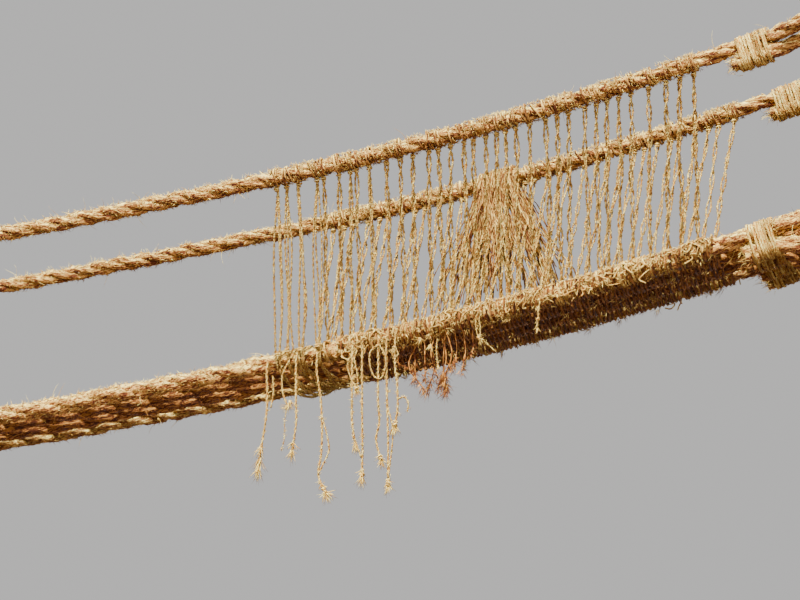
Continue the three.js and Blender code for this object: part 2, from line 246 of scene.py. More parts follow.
# Cords along the near edge of the deck: their place across, thickness and route
EDGE_CORDS = [
    (0.232, 0.0066, [(-3.400, -0.360), (-3.432, -0.450), (-3.404, -0.550), (-3.370, -0.604)]),
    (0.224, 0.0066, [(-3.392, -0.360), (-3.372, -0.460), (-3.358, -0.550), (-3.364, -0.606)]),
    (0.222, 0.0075, [(-3.200, -0.318), (-3.262, -0.360), (-3.272, -0.450), (-3.235, -0.545),
                     (-3.195, -0.558), (-3.165, -0.500), (-3.163, -0.400), (-3.205, -0.322)]),
    (0.230, 0.0060, [(-3.100, -0.350), (-3.124, -0.372), (-3.100, -0.410), (-3.074, -0.398),
                     (-3.086, -0.360)]),
    (0.236, 0.0062, [(-2.800, -0.300), (-2.806, -0.390), (-2.795, -0.490)]),
    (0.228, 0.0056, [(-2.500, -0.112), (-2.528, -0.190), (-2.522, -0.260), (-2.508, -0.312)]),
    (0.236, 0.0056, [(-2.470, -0.108), (-2.506, -0.180), (-2.498, -0.250), (-2.504, -0.312)]),
    (0.232, 0.0044, [(-2.504, -0.306), (-2.454, -0.351), (-2.390, -0.409)]),
    (0.232, 0.0060, [(-2.077, -0.040), (-2.092, -0.154), (-2.104, -0.262)]),
    (0.236, 0.0034, [(-3.862, -0.710), (-3.880, -0.821), (-3.878, -0.920), (-3.902, -1.018)]),
]

# Knots there: their place and size
EDGE_KNOTS = [
    (-3.366, 0.226, -0.612, 0.016), (-2.505, 0.230, -0.310, 0.012), (-3.097, 0.226, -0.352, 0.014),
    (-2.096, 0.230, -0.205, 0.010),
]

# Tufts of loose fibres there: place, the way they point, how many and how long
DOWN = (0.0, 0.0, -1.0)
EDGE_TUFTS = [
    (-2.921, 0.240, -0.290, (-0.2, -0.3, -1.0), 34, 0.070),
    (-2.851, 0.240, -0.340, (0.3, -0.2, -1.0), 30, 0.065),
    (-3.848, 0.236, -0.705, (-0.7, 0.0, -0.6), 34, 0.085),
    (-3.842, 0.236, -0.678, (0.1, 0.0, -1.0), 24, 0.080),
    (-3.366, 0.230, -0.620, DOWN, 28, 0.080),
    (-2.505, 0.236, -0.315, (0.5, 0.0, -0.8), 24, 0.060),
    (-3.097, 0.232, -0.360, (-0.4, -0.3, -0.5), 24, 0.055),
    (-2.795, 0.236, -0.490, DOWN, 16, 0.050),
    (-2.104, 0.236, -0.262, DOWN, 18, 0.060),
]

# Cord ends beneath the deck: place along the bridge, length, and the tuft's fibres and their length
UNDERSIDE_ENDS = [
    (-3.040, 0.20, 14, 0.05), (-2.985, 0.27, 20, 0.06), (-2.960, 0.34, 24, 0.07), (-2.905, 0.30, 20, 0.06),
    (-2.880, 0.38, 26, 0.08), (-2.835, 0.28, 18, 0.06), (-2.800, 0.36, 26, 0.08), (-2.765, 0.42, 44, 0.11),
    (-2.750, 0.33, 30, 0.09), (-2.700, 0.26, 20, 0.07), (-2.640, 0.30, 18, 0.06), (-2.570, 0.22, 16, 0.05),
]

# Brushes of each cord end: how far back they start, how many fibres, their length and spread
TAIL_BRUSHES = {
    1: [(0.18, 20, 0.12, 0.30), (0.10, 32, 0.13, 0.26), (0.03, 44, 0.13, 0.22)],
    2: [(0.05, 16, 0.08, 0.50), (0.00, 34, 0.12, 0.28)],
    3: [(0.06, 18, 0.06, 0.70), (0.00, 44, 0.10, 0.55)],
    4: [(0.00, 34, 0.11, 0.28)],
    5: [(0.03, 14, 0.07, 0.60), (0.00, 38, 0.11, 0.26)],
    6: [(0.03, 14, 0.06, 0.60), (0.00, 30, 0.09, 0.34)],
    7: [(0.03, 12, 0.06, 0.60), (0.00, 32, 0.10, 0.30)],
    8: [(0.00, 40, 0.11, 0.28)],
}


def make_camera():
    data = bpy.data.cameras.new("photo_view")
    data.sensor_width = SENSOR
    data.lens = SENSOR * FOCAL_PIXELS / IMAGE_WIDTH
    data.clip_end = CAMERA_REACH
    camera = bpy.data.objects.new("photo_view", data)
    level = math.cos(CAMERA_PITCH)
    heading = Vector((
        -math.sin(CAMERA_AZIMUTH) * level,
        math.cos(CAMERA_AZIMUTH) * level,
        math.sin(CAMERA_PITCH),
    ))
    camera.location = LOOK_AT - CAMERA_DISTANCE * heading
    camera.rotation_euler = (math.pi / 2 + CAMERA_PITCH, 0.0, CAMERA_AZIMUTH)
    bpy.context.scene.collection.objects.link(camera)
    bpy.context.scene.camera = camera


# Curves of the bridge


def rise(from_middle):
    """Height of the ropes over mid-span, flat where they are bare and tighter where woven."""
    bare = np.minimum(from_middle, SPAN / 2 - WOVEN_LENGTH)
    woven = from_middle - bare
    return bare**2 / (2 * BARE_CURVE) + woven * bare / BARE_CURVE + woven**2 / (2 * WOVEN_CURVE)


def rail_z(x):
    return RAIL_HEIGHT - rise(SPAN / 2) + rise(np.abs(x + SPAN / 2))


def floor_z(x, rope):
    from_post = np.clip(np.minimum(-x, SPAN + x) / EYE_TAIL, 0, 1)
    return rail_z(x) - FLOOR_DROP - FLOOR_TILT * rope / (FLOOR_COUNT - 1) * from_post


def floor_y(rope):
    return FLOOR_EDGE + rope * FLOOR_PITCH


def bank_x(bank, distance):
    return -distance if bank == "east" else distance - SPAN


def points_of(x, y, z):
    x, y, z = np.broadcast_arrays(x, y, z)
    return np.stack([x, y, z], axis=-1).astype(float)


def rail_points(bank, side, distance):
    x = bank_x(bank, np.asarray(distance, float))
    return points_of(x, RAIL_Y[side], rail_z(x))


def floor_points(bank, rope, distance):
    x = bank_x(bank, np.asarray(distance, float))
    return points_of(x, floor_y(rope), floor_z(x, rope))


def unit(vectors):
    return vectors / np.linalg.norm(vectors, axis=-1, keepdims=True)


def lengths_along(path):
    return np.concatenate([[0.0], np.cumsum(np.linalg.norm(np.diff(path, axis=0), axis=1))])


def resampled(path, step_at):
    """The same path with steps of its own length at every place."""
    length = lengths_along(path)
    steps = np.diff(length) / step_at((path[1:] + path[:-1]) / 2)
    count = np.concatenate([[0.0], np.cumsum(steps)])
    wanted = np.linspace(0, count[-1], int(math.ceil(count[-1])) + 1)
    place = np.interp(wanted, count, length)
    return np.stack([np.interp(place, length, path[:, k]) for k in range(3)], axis=1)


def even(path, step):
    return resampled(path, lambda middle: np.full(len(middle), step))


def spoke(angle, over, side):
    """Unit vectors turned by the angle from over towards side."""
    return np.cos(angle)[..., None] * over + np.sin(angle)[..., None] * side


def corners(sides):
    """The angles of a ring's corners."""
    return 2 * np.pi * np.arange(sides) / sides


def mostly_short(shortest, longest, power, count, rng):
    return shortest + (longest - shortest) * rng.random(count) ** power


def frames(path, reference):
    """Unit vectors along the path, to its side and over it, the last nearest the reference."""
    along = unit(np.gradient(path, axis=0))
    side = unit(np.cross(along, reference))
    return along, side, np.cross(side, along)


def wander(length, wave, rng):
    """A smooth random line, about -1 to 1, that changes over about one wave."""
    total = np.zeros_like(length)
    for part in range(WAVES):
        size = wave / (0.6 + 0.55 * part)
        total += np.sin(2 * np.pi * length / size + rng.uniform(0, 2 * np.pi)) / (1 + 0.5 * part)
    return total / 1.8


def centripetal(anchors, samples=24):
    """A smooth line through given points."""
    anchors = np.asarray(anchors, float)
    before = 2 * anchors[0] - anchors[1]
    after = 2 * anchors[-1] - anchors[-2]
    knots = np.vstack([before, anchors, after])
    part = np.linspace(0, 1, samples, endpoint=False)[:, None]
    pieces = []
    for i in range(1, len(knots) - 2):
        p0, p1, p2, p3 = knots[i - 1:i + 3]
        d0, d1, d2 = (math.sqrt(np.linalg.norm(b - a)) for a, b in ((p0, p1), (p1, p2), (p2, p3)))
        t1 = ((p1 - p0) / d0 - (p2 - p0) / (d0 + d1) + (p2 - p1) / d1) * d1
        t2 = ((p2 - p1) / d1 - (p3 - p1) / (d1 + d2) + (p3 - p2) / d2) * d1
        c2 = -3 * p1 + 3 * p2 - 2 * t1 - t2
        c3 = 2 * p1 - 2 * p2 + t1 + t2
        pieces.append(p1 + t1 * part + c2 * part**2 + c3 * part**3)
    pieces.append(anchors[-1:])
    return np.vstack(pieces)


class Shapes:
    """Closed shapes gathered into one mesh, with a place in the grain and a tone at each vertex."""

    def __init__(self, seed):
        self.rng = np.random.default_rng(seed)
        self.points, self.grains, self.tones, self.faces, self.slots = [], [], [], [], []
        self.count = 0

    def add(self, points, grain, tone, faces, slot):
        points = points.reshape(-1, 3)
        self.points.append(points)
        self.grains.append(grain.reshape(-1, 3))
        self.tones.append(np.broadcast_to(tone, (len(points),)).astype(float))
        self.faces.append(faces + self.count)
        self.slots.append(np.full(len(faces), slot))
        self.count += len(points)

    def tube(self, path, radius, sides, reference, tone, slot=BODY, twist=0.0, fibre_turn=0.0):
        """A closed tube. Radius and tone are numbers or arrays of one value a ring or a vertex."""
        along, side, over = frames(path, reference)
        length = lengths_along(path)
        angle = corners(sides)
        turn = angle[None, :] + np.broadcast_to(twist, (len(path),))[:, None]
        radius = np.asarray(radius, float)
        radius = np.broadcast_to(radius[:, None] if radius.ndim == 1 else radius, turn.shape)
        outward = spoke(turn, over[:, None], side[:, None])
        rings = path[:, None] + radius[..., None] * outward
        grain_turn = angle[None, :] + fibre_turn * length[:, None]
        offset = self.rng.uniform(0, 50)
        grain = np.stack([
            np.broadcast_to(length[:, None] + offset, turn.shape),
            radius * np.cos(grain_turn),
            radius * np.sin(grain_turn),
        ], axis=-1)
        tone = np.asarray(tone, float)
        tone = np.broadcast_to(tone[:, None] if tone.ndim == 1 else tone, turn.shape).reshape(-1)
        self.add(rings, grain, tone, tube_faces(len(path), sides), slot)
        return {"points": rings, "outward": outward, "along": along, "tone": tone.reshape(turn.shape)}

    def fibres(self, roots, heading, length, width, bend=0.3, joints=1, tone=0.8, slot=HAIR):
        """Thin three-sided fibres that taper from their roots to a point."""
        count = len(roots)
        heading = unit(heading)
        side = unit(np.cross(heading, self.rng.normal(size=(count, 3))))
        over = np.cross(side, heading)
        length = np.broadcast_to(length, (count,))[:, None]
        width = np.broadcast_to(width, (count,))[:, None]
        bow = unit(self.rng.normal(size=(count, 3))) * np.broadcast_to(bend, (count,))[:, None]
        bow = bow - heading * np.sum(bow * heading, axis=1, keepdims=True)
        rows = []
        for joint in range(joints):
            part = joint / joints
            centre = roots + length * (heading * part + bow * part**2)
            for angle in corners(3):
                rows.append(centre + spoke(angle, over, side) * width * 0.5 * (1 - 0.6 * part))
        rows.append(roots + length * (heading + bow))
        points = np.stack(rows, axis=1)
        per = 3 * joints + 1
        faces = (fibre_faces(joints)[None] + per * np.arange(count)[:, None, None]).reshape(-1, 3)
        offset = self.rng.uniform(0, 50, (count, 1))
        grain = np.stack([
            np.broadcast_to(offset, (count, per)),
            np.broadcast_to(offset * 0.37, (count, per)),
            np.zeros((count, per)),
        ], axis=-1)
        tone = np.repeat(np.broadcast_to(tone, (count,)), per)
        self.add(points, grain, tone, faces, slot)

    def piece(self, name, materials, replaced, slot):
        """Makes the piece, which rides on the bridge and stands for the named CAD nodes."""
        mesh = bpy.data.meshes.new(name)
        faces = np.vstack(self.faces)
        mesh.from_pydata(np.vstack(self.points).tolist(), [], faces.tolist())
        grain = mesh.attributes.new("grain", "FLOAT_VECTOR", "POINT")
        grain.data.foreach_set("vector", np.vstack(self.grains).astype(np.float32).ravel())
        tone = mesh.attributes.new("tone", "FLOAT", "POINT")
        tone.data.foreach_set("value", np.concatenate(self.tones).astype(np.float32))
        for material in materials:
            mesh.materials.append(material)
        mesh.polygons.foreach_set("material_index", np.concatenate(self.slots).astype(np.int32))
        mesh.shade_smooth()
        mesh.update()
        piece = bpy.data.objects.new(name, mesh)
        bpy.context.scene.collection.objects.link(piece)
        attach(piece, "root")
        if replaced:
            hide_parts(*replaced)
        return piece


def fibre_faces(joints):
    """The corner numbers of one fibre's faces: its root, its sides and its point."""
    pattern = [(0, 2, 1)]
    last = 3 * (joints - 1)
    for joint in range(joints - 1):
        for corner in range(3):
            a, b = 3 * joint + corner, 3 * joint + (corner + 1) % 3
            pattern += [(a, b, b + 3), (a, b + 3, a + 3)]
    for corner in range(3):
        pattern.append((last + corner, last + (corner + 1) % 3, last + 3))
    return np.array(pattern)


def tube_faces(rings, sides):
    ring, corner = np.meshgrid(np.arange(rings - 1), np.arange(sides), indexing="ij")
    a = ring * sides + corner
    b = ring * sides + (corner + 1) % sides
    skin = np.stack([a, b, b + sides, a, b + sides, a + sides], axis=-1).reshape(-1, 3)
    fan = np.arange(1, sides - 1)
    first = np.stack([np.zeros_like(fan), fan + 1, fan], axis=1)
    last = np.stack([np.zeros_like(fan), fan, fan + 1], axis=1) + (rings - 1) * sides
    return np.vstack([skin, first, last])


# Materials


class Nodes:
    """A short way to write a material's node tree."""

    def __init__(self, name):
        self.material = bpy.data.materials.new(name)
        self.material.use_nodes = True
        self.tree = self.material.node_tree
        self.shader = self.tree.nodes["Principled BSDF"]

    def add(self, kind, **settings):
        node = self.tree.nodes.new(kind)
        for key, value in settings.items():
            setattr(node, key, value)
        return node

    def link(self, source, target):
        self.tree.links.new(source, target)

    def attribute(self, name, output):
        return self.add("ShaderNodeAttribute", attribute_name=name).outputs[output]

    def scaled(self, vector, scale):
        node = self.add("ShaderNodeVectorMath", operation="MULTIPLY")
        self.link(vector, node.inputs[0])
        node.inputs[1].default_value = scale
        return node.outputs[0]

    def noise(self, vector, scale, detail, rough=0.6):
        node = self.add("ShaderNodeTexNoise")
        node.inputs["Scale"].default_value = scale
        node.inputs["Detail"].default_value = detail
        node.inputs["Roughness"].default_value = rough
        self.link(vector, node.inputs["Vector"])
        return node.outputs["Fac"]

    def ramp(self, value, stops):
        node = self.add("ShaderNodeValToRGB")
        elements = node.color_ramp.elements
        while len(elements) < len(stops):
            elements.new(0.5)
        for element, (place, colour) in zip(elements, stops):
            element.position = place
            element.color = (*colour, 1)
        self.link(value, node.inputs["Fac"])
        return node.outputs["Color"]

    def ranged(self, value, low, high, out_low=0.0, out_high=1.0):
        node = self.add("ShaderNodeMapRange")
        self.link(value, node.inputs["Value"])
        node.inputs["From Min"].default_value = low
        node.inputs["From Max"].default_value = high
        node.inputs["To Min"].default_value = out_low
        node.inputs["To Max"].default_value = out_high
        return node.outputs["Result"]

    def put(self, value, socket):
        """Links an output to the socket, or sets a number or a colour on it."""
        if isinstance(value, bpy.types.NodeSocket):
            self.link(value, socket)
        else:
            socket.default_value = (*value, 1) if isinstance(value, tuple) else value

    def maths(self, operation, *values):
        node = self.add("ShaderNodeMath", operation=operation)
        for value, socket in zip(values, node.inputs):
            self.put(value, socket)
        return node.outputs[0]

    def mix(self, factor, first, second, blend="MIX"):
        node = self.add("ShaderNodeMix", data_type="RGBA", blend_type=blend)
        for name, value in (("Factor", factor), ("A", first), ("B", second)):
            self.put(value, node.inputs[name])
        return node.outputs["Result"]

    def bump(self, height, strength, distance):
        node = self.add("ShaderNodeBump")
        node.inputs["Strength"].default_value = strength
        node.inputs["Distance"].default_value = distance
        self.link(height, node.inputs["Height"])
        self.link(node.outputs["Normal"], self.shader.inputs["Normal"])

    def skin(self, colour, roughness, specular):
        """The colour and the dull shine of the whole surface."""
        self.link(colour, self.shader.inputs["Base Color"])
        self.shader.inputs["Roughness"].default_value = roughness
        self.shader.inputs["Specular IOR Level"].default_value = specular

    def facing_up(self):
        normal = self.add("ShaderNodeNewGeometry").outputs["Normal"]
        split = self.add("ShaderNodeSeparateXYZ")
        self.link(normal, split.inputs[0])
        return split.outputs["Z"]


def grass(name, sunlit, shaded, fibre=(20.0, 115.0), turning=(-0.55, 0.40), bump=0.8):
    """Dry grass with streaks along its grain: paler above and red-brown below, partly from sun-bleaching and
    partly painted sunlight and shade, and darker in the grooves with painted shade.

    Both palettes run from the darkest streak to the brightest. Fibre is how fine the streaks are along
    and across the grain, and turning is where the surface turns from the one palette to the other.
    """
    nodes = Nodes(name)
    along, across = fibre
    grain = nodes.attribute("grain", "Vector")
    fine = nodes.noise(nodes.scaled(grain, (along, across, across)), 1.0, 3.0, 0.65)
    wide = nodes.scaled(grain, (along * 0.5, across * 0.35, across * 0.35))
    clumps = nodes.noise(wide, 1.0, 2.0, 0.5)
    streaks = nodes.ranged(nodes.maths("MULTIPLY_ADD", clumps, 0.6, fine), 0.65, 0.94)
    place = nodes.add("ShaderNodeTexCoord").outputs["Object"]
    patches = nodes.ranged(nodes.noise(place, 9.0, 3.0), 0.3, 0.7, -0.28, 0.28)
    # Painted light: surfaces facing up take the sunlit palette and those facing down the shaded one, partly
    # standing for sun-bleaching
    sunlit_and_bleached = nodes.ranged(nodes.maths("ADD", nodes.facing_up(), patches), *turning)
    above = nodes.ramp(streaks, list(zip(PALETTE_PLACES, sunlit)))
    below = nodes.ramp(streaks, list(zip(PALETTE_PLACES, shaded)))
    colour = nodes.mix(sunlit_and_bleached, below, above)
    # Painted shade in the creases: where the tone attribute is low, the colour is darkened towards the crease
    # tint
    crease = nodes.mix(1.0, colour, CREASE_SHADE, "MULTIPLY")
    open_to_light = nodes.ranged(nodes.attribute("tone", "Fac"), 0.0, 0.7)
    nodes.skin(nodes.mix(open_to_light, crease, colour), 0.85, 0.2)
    nodes.bump(streaks, bump, 0.008)
    return nodes.material


def wood(name):
    """Weathered timber: grey streaks along the grain, dark checks, rings on the sawn ends."""
    nodes = Nodes(name)
    grain = nodes.attribute("grain", "Vector")
    streaks = nodes.noise(nodes.scaled(grain, (2.6, 60.0, 60.0)), 1.0, 6.0, 0.7)
    checks = nodes.noise(nodes.scaled(grain, (1.1, 22.0, 22.0)), 1.0, 2.0, 0.5)
    width = nodes.maths("ABSOLUTE", nodes.maths("SUBTRACT", checks, 0.5))
    cracked = nodes.mix(nodes.ranged(width, 0.002, 0.02), TIMBER_CRACK, nodes.ramp(streaks, TIMBER))
    section = nodes.scaled(grain, (0.0, 1.0, 1.0))
    radial = nodes.add("ShaderNodeVectorMath", operation="LENGTH")
    nodes.link(section, radial.inputs[0])
    wobble = nodes.maths("MULTIPLY_ADD", nodes.noise(section, 14.0, 2.0), 0.02, radial.outputs["Value"])
    wave = nodes.maths("SINE", nodes.maths("MULTIPLY", wobble, 2 * math.pi / RING_WIDTH))
    rings = nodes.ramp(nodes.ranged(wave, -1.0, 1.0), TIMBER_RINGS)
    nodes.skin(nodes.mix(nodes.attribute("tone", "Fac"), rings, cracked), 0.8, 0.25)
    nodes.bump(streaks, 0.6, 0.006)
    return nodes.material


def make_materials():
    # Each grass material pairs a sunlit palette with a shaded one: the shaded palettes are painted shade on
    # surfaces that face down, partly also less-bleached grass, and the darker sunlit palette of the inner
    # ropes and deck is painted shade too
    straw = [(0.25, 0.105, 0.030), (0.68, 0.44, 0.125), (1.00, 0.85, 0.29)]
    rust_red_shade = [(0.11, 0.026, 0.010), (0.45, 0.165, 0.044), (0.80, 0.47, 0.140)]
    pale = [(0.46, 0.25, 0.05), (0.90, 0.66, 0.18), (1.00, 0.88, 0.32)]
    gold = [(0.60, 0.27, 0.050), (1.00, 0.68, 0.180), (1.00, 0.88, 0.34)]
    amber_shade = [(0.32, 0.115, 0.024), (0.68, 0.37, 0.085), (0.95, 0.68, 0.20)]
    earth_brown_shade = [(0.05, 0.010, 0.002), (0.24, 0.062, 0.012), (0.62, 0.26, 0.065)]
    loam = [(0.10, 0.022, 0.005), (0.42, 0.140, 0.026), (0.78, 0.38, 0.090)]
    ochre_in_shade = [(0.07, 0.016, 0.004), (0.31, 0.105, 0.024), (0.62, 0.31, 0.078)]
    umber_shade = [(0.052, 0.013, 0.004), (0.25, 0.076, 0.022), (0.56, 0.25, 0.076)]
    bark_brown_shade = [(0.06, 0.03, 0.015), (0.14, 0.08, 0.04), (0.26, 0.16, 0.09)]
    return {
        "rope": grass("grass_rope", straw, rust_red_shade, turning=(-0.15, 0.62)),
        "fuzz": grass("loose_fibre", pale, amber_shade, turning=(-1.2, 0.5), bump=0.1),
        "floor_rope": grass("floor_rope", straw, rust_red_shade, turning=(-0.15, 0.65)),
        # Painted light: a copy of the floor rope whose lower side takes the sunlit palette, as if lit
        "last_rope": grass("last_rope", straw, rust_red_shade, turning=(-0.95, 0.30)),
        # Painted shade: the inner floor ropes and their fibres take darker copies of the grass, as in the
        # shade of the others
        "inner_rope": grass("shaded_rope", ochre_in_shade, earth_brown_shade, turning=(-1.2, 0.0)),
        "inner_fuzz": grass("shaded_fibre", ochre_in_shade, earth_brown_shade, turning=(-1.4, 0.0), bump=0.1),
        "cord": grass("grass_cord", gold, amber_shade, (55.0, 240.0), (-1.0, 0.0)),
        "brush": grass("dry_grass", straw, earth_brown_shade, turning=(-0.9, 0.6), bump=0.1),
        "stick": grass("thin_sticks", loam, bark_brown_shade, (8.0, 240.0)),
        # Painted shade: the deck's cord is darker, most of all on its underside
        "deck": grass("deck_cord", ochre_in_shade, umber_shade, (20.0, 180.0), (-0.35, 0.45)),
        "wood": wood("weathered_wood"),
    }


# Ropes


def rope_step(fine, place):
    """Length of one step of a rope: fine where the camera is close, coarse in the bare middle."""
    x = place[:, 0]
    return np.where(x > SEEN_WEST, fine, np.where(x > MIDDLE_WEST, MIDDLE_STEP, WEST_STEP))


def laid_rope(shapes, path, radius, reference, looks):
    """Three strands laid round each other along the path, each thicker and thinner by turns.

    Shade is painted into the creases between them; the more matting fills them, the lighter that painted
    shade.
    """
    plump, lay, matted_crease_lift, _ = looks
    rng = shapes.rng
    _, side, over = frames(path, reference)
    length = lengths_along(path)
    higher = 0.004 * wander(length, 0.6, rng)
    aside = 0.004 * wander(length, 0.7, rng)
    path = path + higher[:, None] * over + aside[:, None] * side
    strand = radius * plump
    start = rng.uniform(0, 2 * np.pi)
    sway = 0.25 * wander(length, 1.3, rng)
    angle = corners(STRAND_SIDES)
    skins = []
    for number in range(3):
        turn = start + 2 * np.pi * (number / 3 + length / lay) + sway + 0.1 * wander(length, 0.4, rng)
        outward = spoke(turn, over, side)
        offset = (radius - strand) * (1 + 0.08 * wander(length, 0.3, rng))
        thick = strand * (1 + 0.07 * wander(length, 0.16, rng) + 0.05 * wander(length, 0.05, rng))
        lumps = 0.05 * np.sin(3 * angle + 2 * np.pi * length[:, None] / 0.11 + rng.uniform(0, 6))
        lumps = lumps + UNEVEN * rng.normal(size=lumps.shape)
        faded = 0.9 + 0.1 * wander(length, 0.2, rng)
        # Painted shade: each strand darkens towards its sides, where it lies in the creases, with some random
        # fading
        tone = np.clip((np.cos(angle) + matted_crease_lift) / 0.75, 0, 1) * faded[:, None]
        tone = np.clip(tone + 0.2 * rng.normal(size=lumps.shape), 0, 1)
        centre, radii = path + outward * offset[:, None], thick[:, None] * (1 + lumps)
        skin = shapes.tube(centre, radii, STRAND_SIDES, outward, tone, fibre_turn=14.0)
        skins.append({**skin, "length": length})
    return skins


def whole_path(end, middle):
    """A rope's path from its returned end at the east bank to the one at the west bank."""
    west = end * np.array([-1.0, 1.0, 1.0]) + np.array([-SPAN, 0.0, 0.0])
    return np.vstack([end, middle, west[::-1]])


def log_centre():
    """Where the cross log lies: behind the posts, against them, under the floor ropes."""
    slope = (rail_z(0.0) - rail_z(-RAIL_EYE)) / RAIL_EYE
    lean = math.atan(slope)
    reach = LOG_RADIUS + FLOOR_RADIUS - ROPE_BITE
    x = POST_FOOT_RADIUS + LOG_RADIUS
    touch_x = x - reach * math.sin(lean)
    touch_z = RAIL_HEIGHT - FLOOR_DROP + slope * touch_x
    return x, touch_z - reach * math.cos(lean), lean, reach


def floor_path(rope):
    x, z, lean, reach = log_centre()
    double = 2 * FLOOR_RADIUS + 0.001
    y = floor_y(rope)
    meet_x, meet_z = -FLOOR_EYE, float(floor_z(-FLOOR_EYE, rope)) - double
    back = np.linspace(-EYE_TAIL, meet_x, 12)
    returned = points_of(back, y, floor_z(back, rope) - double)
    between = math.hypot(x - meet_x, z - meet_z)
    heading = math.atan2(z - meet_z, x - meet_x) - math.asin(reach / between)
    angle = np.linspace(heading - math.pi / 2, math.pi / 2 + lean, 40)
    round_log = points_of(x + reach * np.cos(angle), y, z + reach * np.sin(angle))
    span = np.linspace(0, -SPAN, 1400)
    return whole_path(np.vstack([returned, round_log]), points_of(span, y, floor_z(span, rope)))


def rail_reach():
    """Distance of the handrail's centre line from the middle of its post."""
    return (POST_TOP_RADIUS + POST_FOOT_RADIUS) / 2 + RAIL_RADIUS - ROPE_BITE


def rail_wrap():
    """Half the angle through which a handrail lies round its post."""
    return math.pi / 2 + math.asin(rail_reach() / RAIL_EYE)


def rail_path(side):
    inward = 1 if side == "near" else -1
    double = 2 * RAIL_RADIUS + 0.001
    back = np.linspace(-EYE_TAIL, -RAIL_EYE, 12)
    returned = points_of(back, RAIL_Y[side], rail_z(back) - double)
    part = np.linspace(0, 1, 40)
    angle = rail_wrap() * (1 - 2 * part)
    reach = rail_reach()
    y = RAIL_Y[side] + inward * reach * np.sin(angle)
    round_post = points_of(reach * np.cos(angle), y, rail_on_post(part))
    span = np.linspace(-RAIL_EYE, -SPAN + RAIL_EYE, 1400)
    return whole_path(np.vstack([returned, round_post]), points_of(span, RAIL_Y[side], rail_z(span)))


def rail_on_post(part):
    """Height of a handrail's centre line at a part of its way round the post."""
    return RAIL_HEIGHT - RAIL_RADIUS * (1 - part)


def hairy(shapes, skins, per_metre, bare_to):
    """Loose fibres that stand out of the strands, most of them on the bare stretch that is seen."""
    rng = shapes.rng
    roots, headings, tones = [], [], []
    for skin in skins:
        x = skin["points"][:, 0, 0]
        dense = np.where(x < SEEN_WEST, UNSEEN_HAIR, np.where(x < bare_to, 1.0, WOVEN_HAIR))
        share = np.gradient(skin["length"]) * dense
        weight = share[:, None] * (skin["tone"] > 0.25)
        count = int(per_metre * np.sum(share) / len(skins))
        picked = rng.choice(weight.size, count, p=(weight / weight.sum()).ravel())
        way = np.where(rng.random(count) < 0.5, -1.0, 1.0)[:, None]
        out = skin["outward"].reshape(-1, 3)[picked]
        heading = skin["along"][picked // STRAND_SIDES] * way + out * rng.uniform(0.0, 1.15, (count, 1))
        headings.append(heading + rng.normal(size=(count, 3)) * 0.35)
        roots.append(skin["points"].reshape(-1, 3)[picked] - out * 0.003)
        tones.append(sunlit_tone(out, rng))
    roots, headings, tones = np.vstack(roots), np.vstack(headings), np.concatenate(tones)
    count = len(roots)
    length = mostly_short(HAIR_SHORTEST, HAIR_LONGEST, 2, count, rng)
    shapes.fibres(roots, headings, length, HAIR_WIDTH * rng.uniform(0.6, 1.2, count), tone=tones)
    long = rng.random(count) < 0.015
    wild = headings[long] + rng.normal(size=(long.sum(), 3)) * 0.4
    shapes.fibres(roots[long], wild, length[long] * 2.0 + 0.03, HAIR_WIDTH * 0.7, 0.9, 4, 0.9)


def sunlit_tone(outward, rng):
    """Tone of loose fibres: pale on top and darker below, partly from sun-bleaching and partly painted
    sunlight and shade.
    """
    return np.clip(0.48 + 0.45 * outward[:, 2] + 0.40 * rng.normal(size=len(outward)), 0.0, 1.0)


def shaggy(shapes, centre_at, span, radius, count, looks):
    """Short curly fibres in clumps all round a rope, pale on top, partly as painted sunlight."""
    shortest, longest, width, lift, stand = looks
    rng = shapes.rng
    clumps = max(count // 14, 1)
    clump = np.sort(rng.integers(0, clumps, count))
    distance = np.sort(rng.uniform(*span, clumps))[clump] + rng.normal(size=count) * 0.010
    distance = np.clip(distance, *span)
    order = np.argsort(distance)
    clump, distance = clump[order], distance[order]
    centre = centre_at(distance)
    along = unit(centre_at(distance + NEARBY) - centre_at(distance - NEARBY))
    side = unit(np.cross(along, UP))
    angle = rng.uniform(0, 2 * np.pi, clumps)[clump] + rng.normal(size=count) * 0.55
    out = spoke(angle, np.cross(side, along), side)
    turn = rng.uniform(0, 2 * np.pi, (count, 1))
    heading = out * rng.uniform(0.0, stand, (count, 1)) + np.cos(turn) * along
    heading = heading + np.sin(turn) * np.cross(along, out) + UP * lift
    length = mostly_short(shortest, longest, 1.6, count, rng)
    tone = np.clip(sunlit_tone(out, rng) + 0.30 * rng.normal(size=clumps)[clump], 0, 1)
    shapes.fibres(centre + out * radius, heading, length, width * rng.uniform(0.6, 1.2, count), tone=tone)


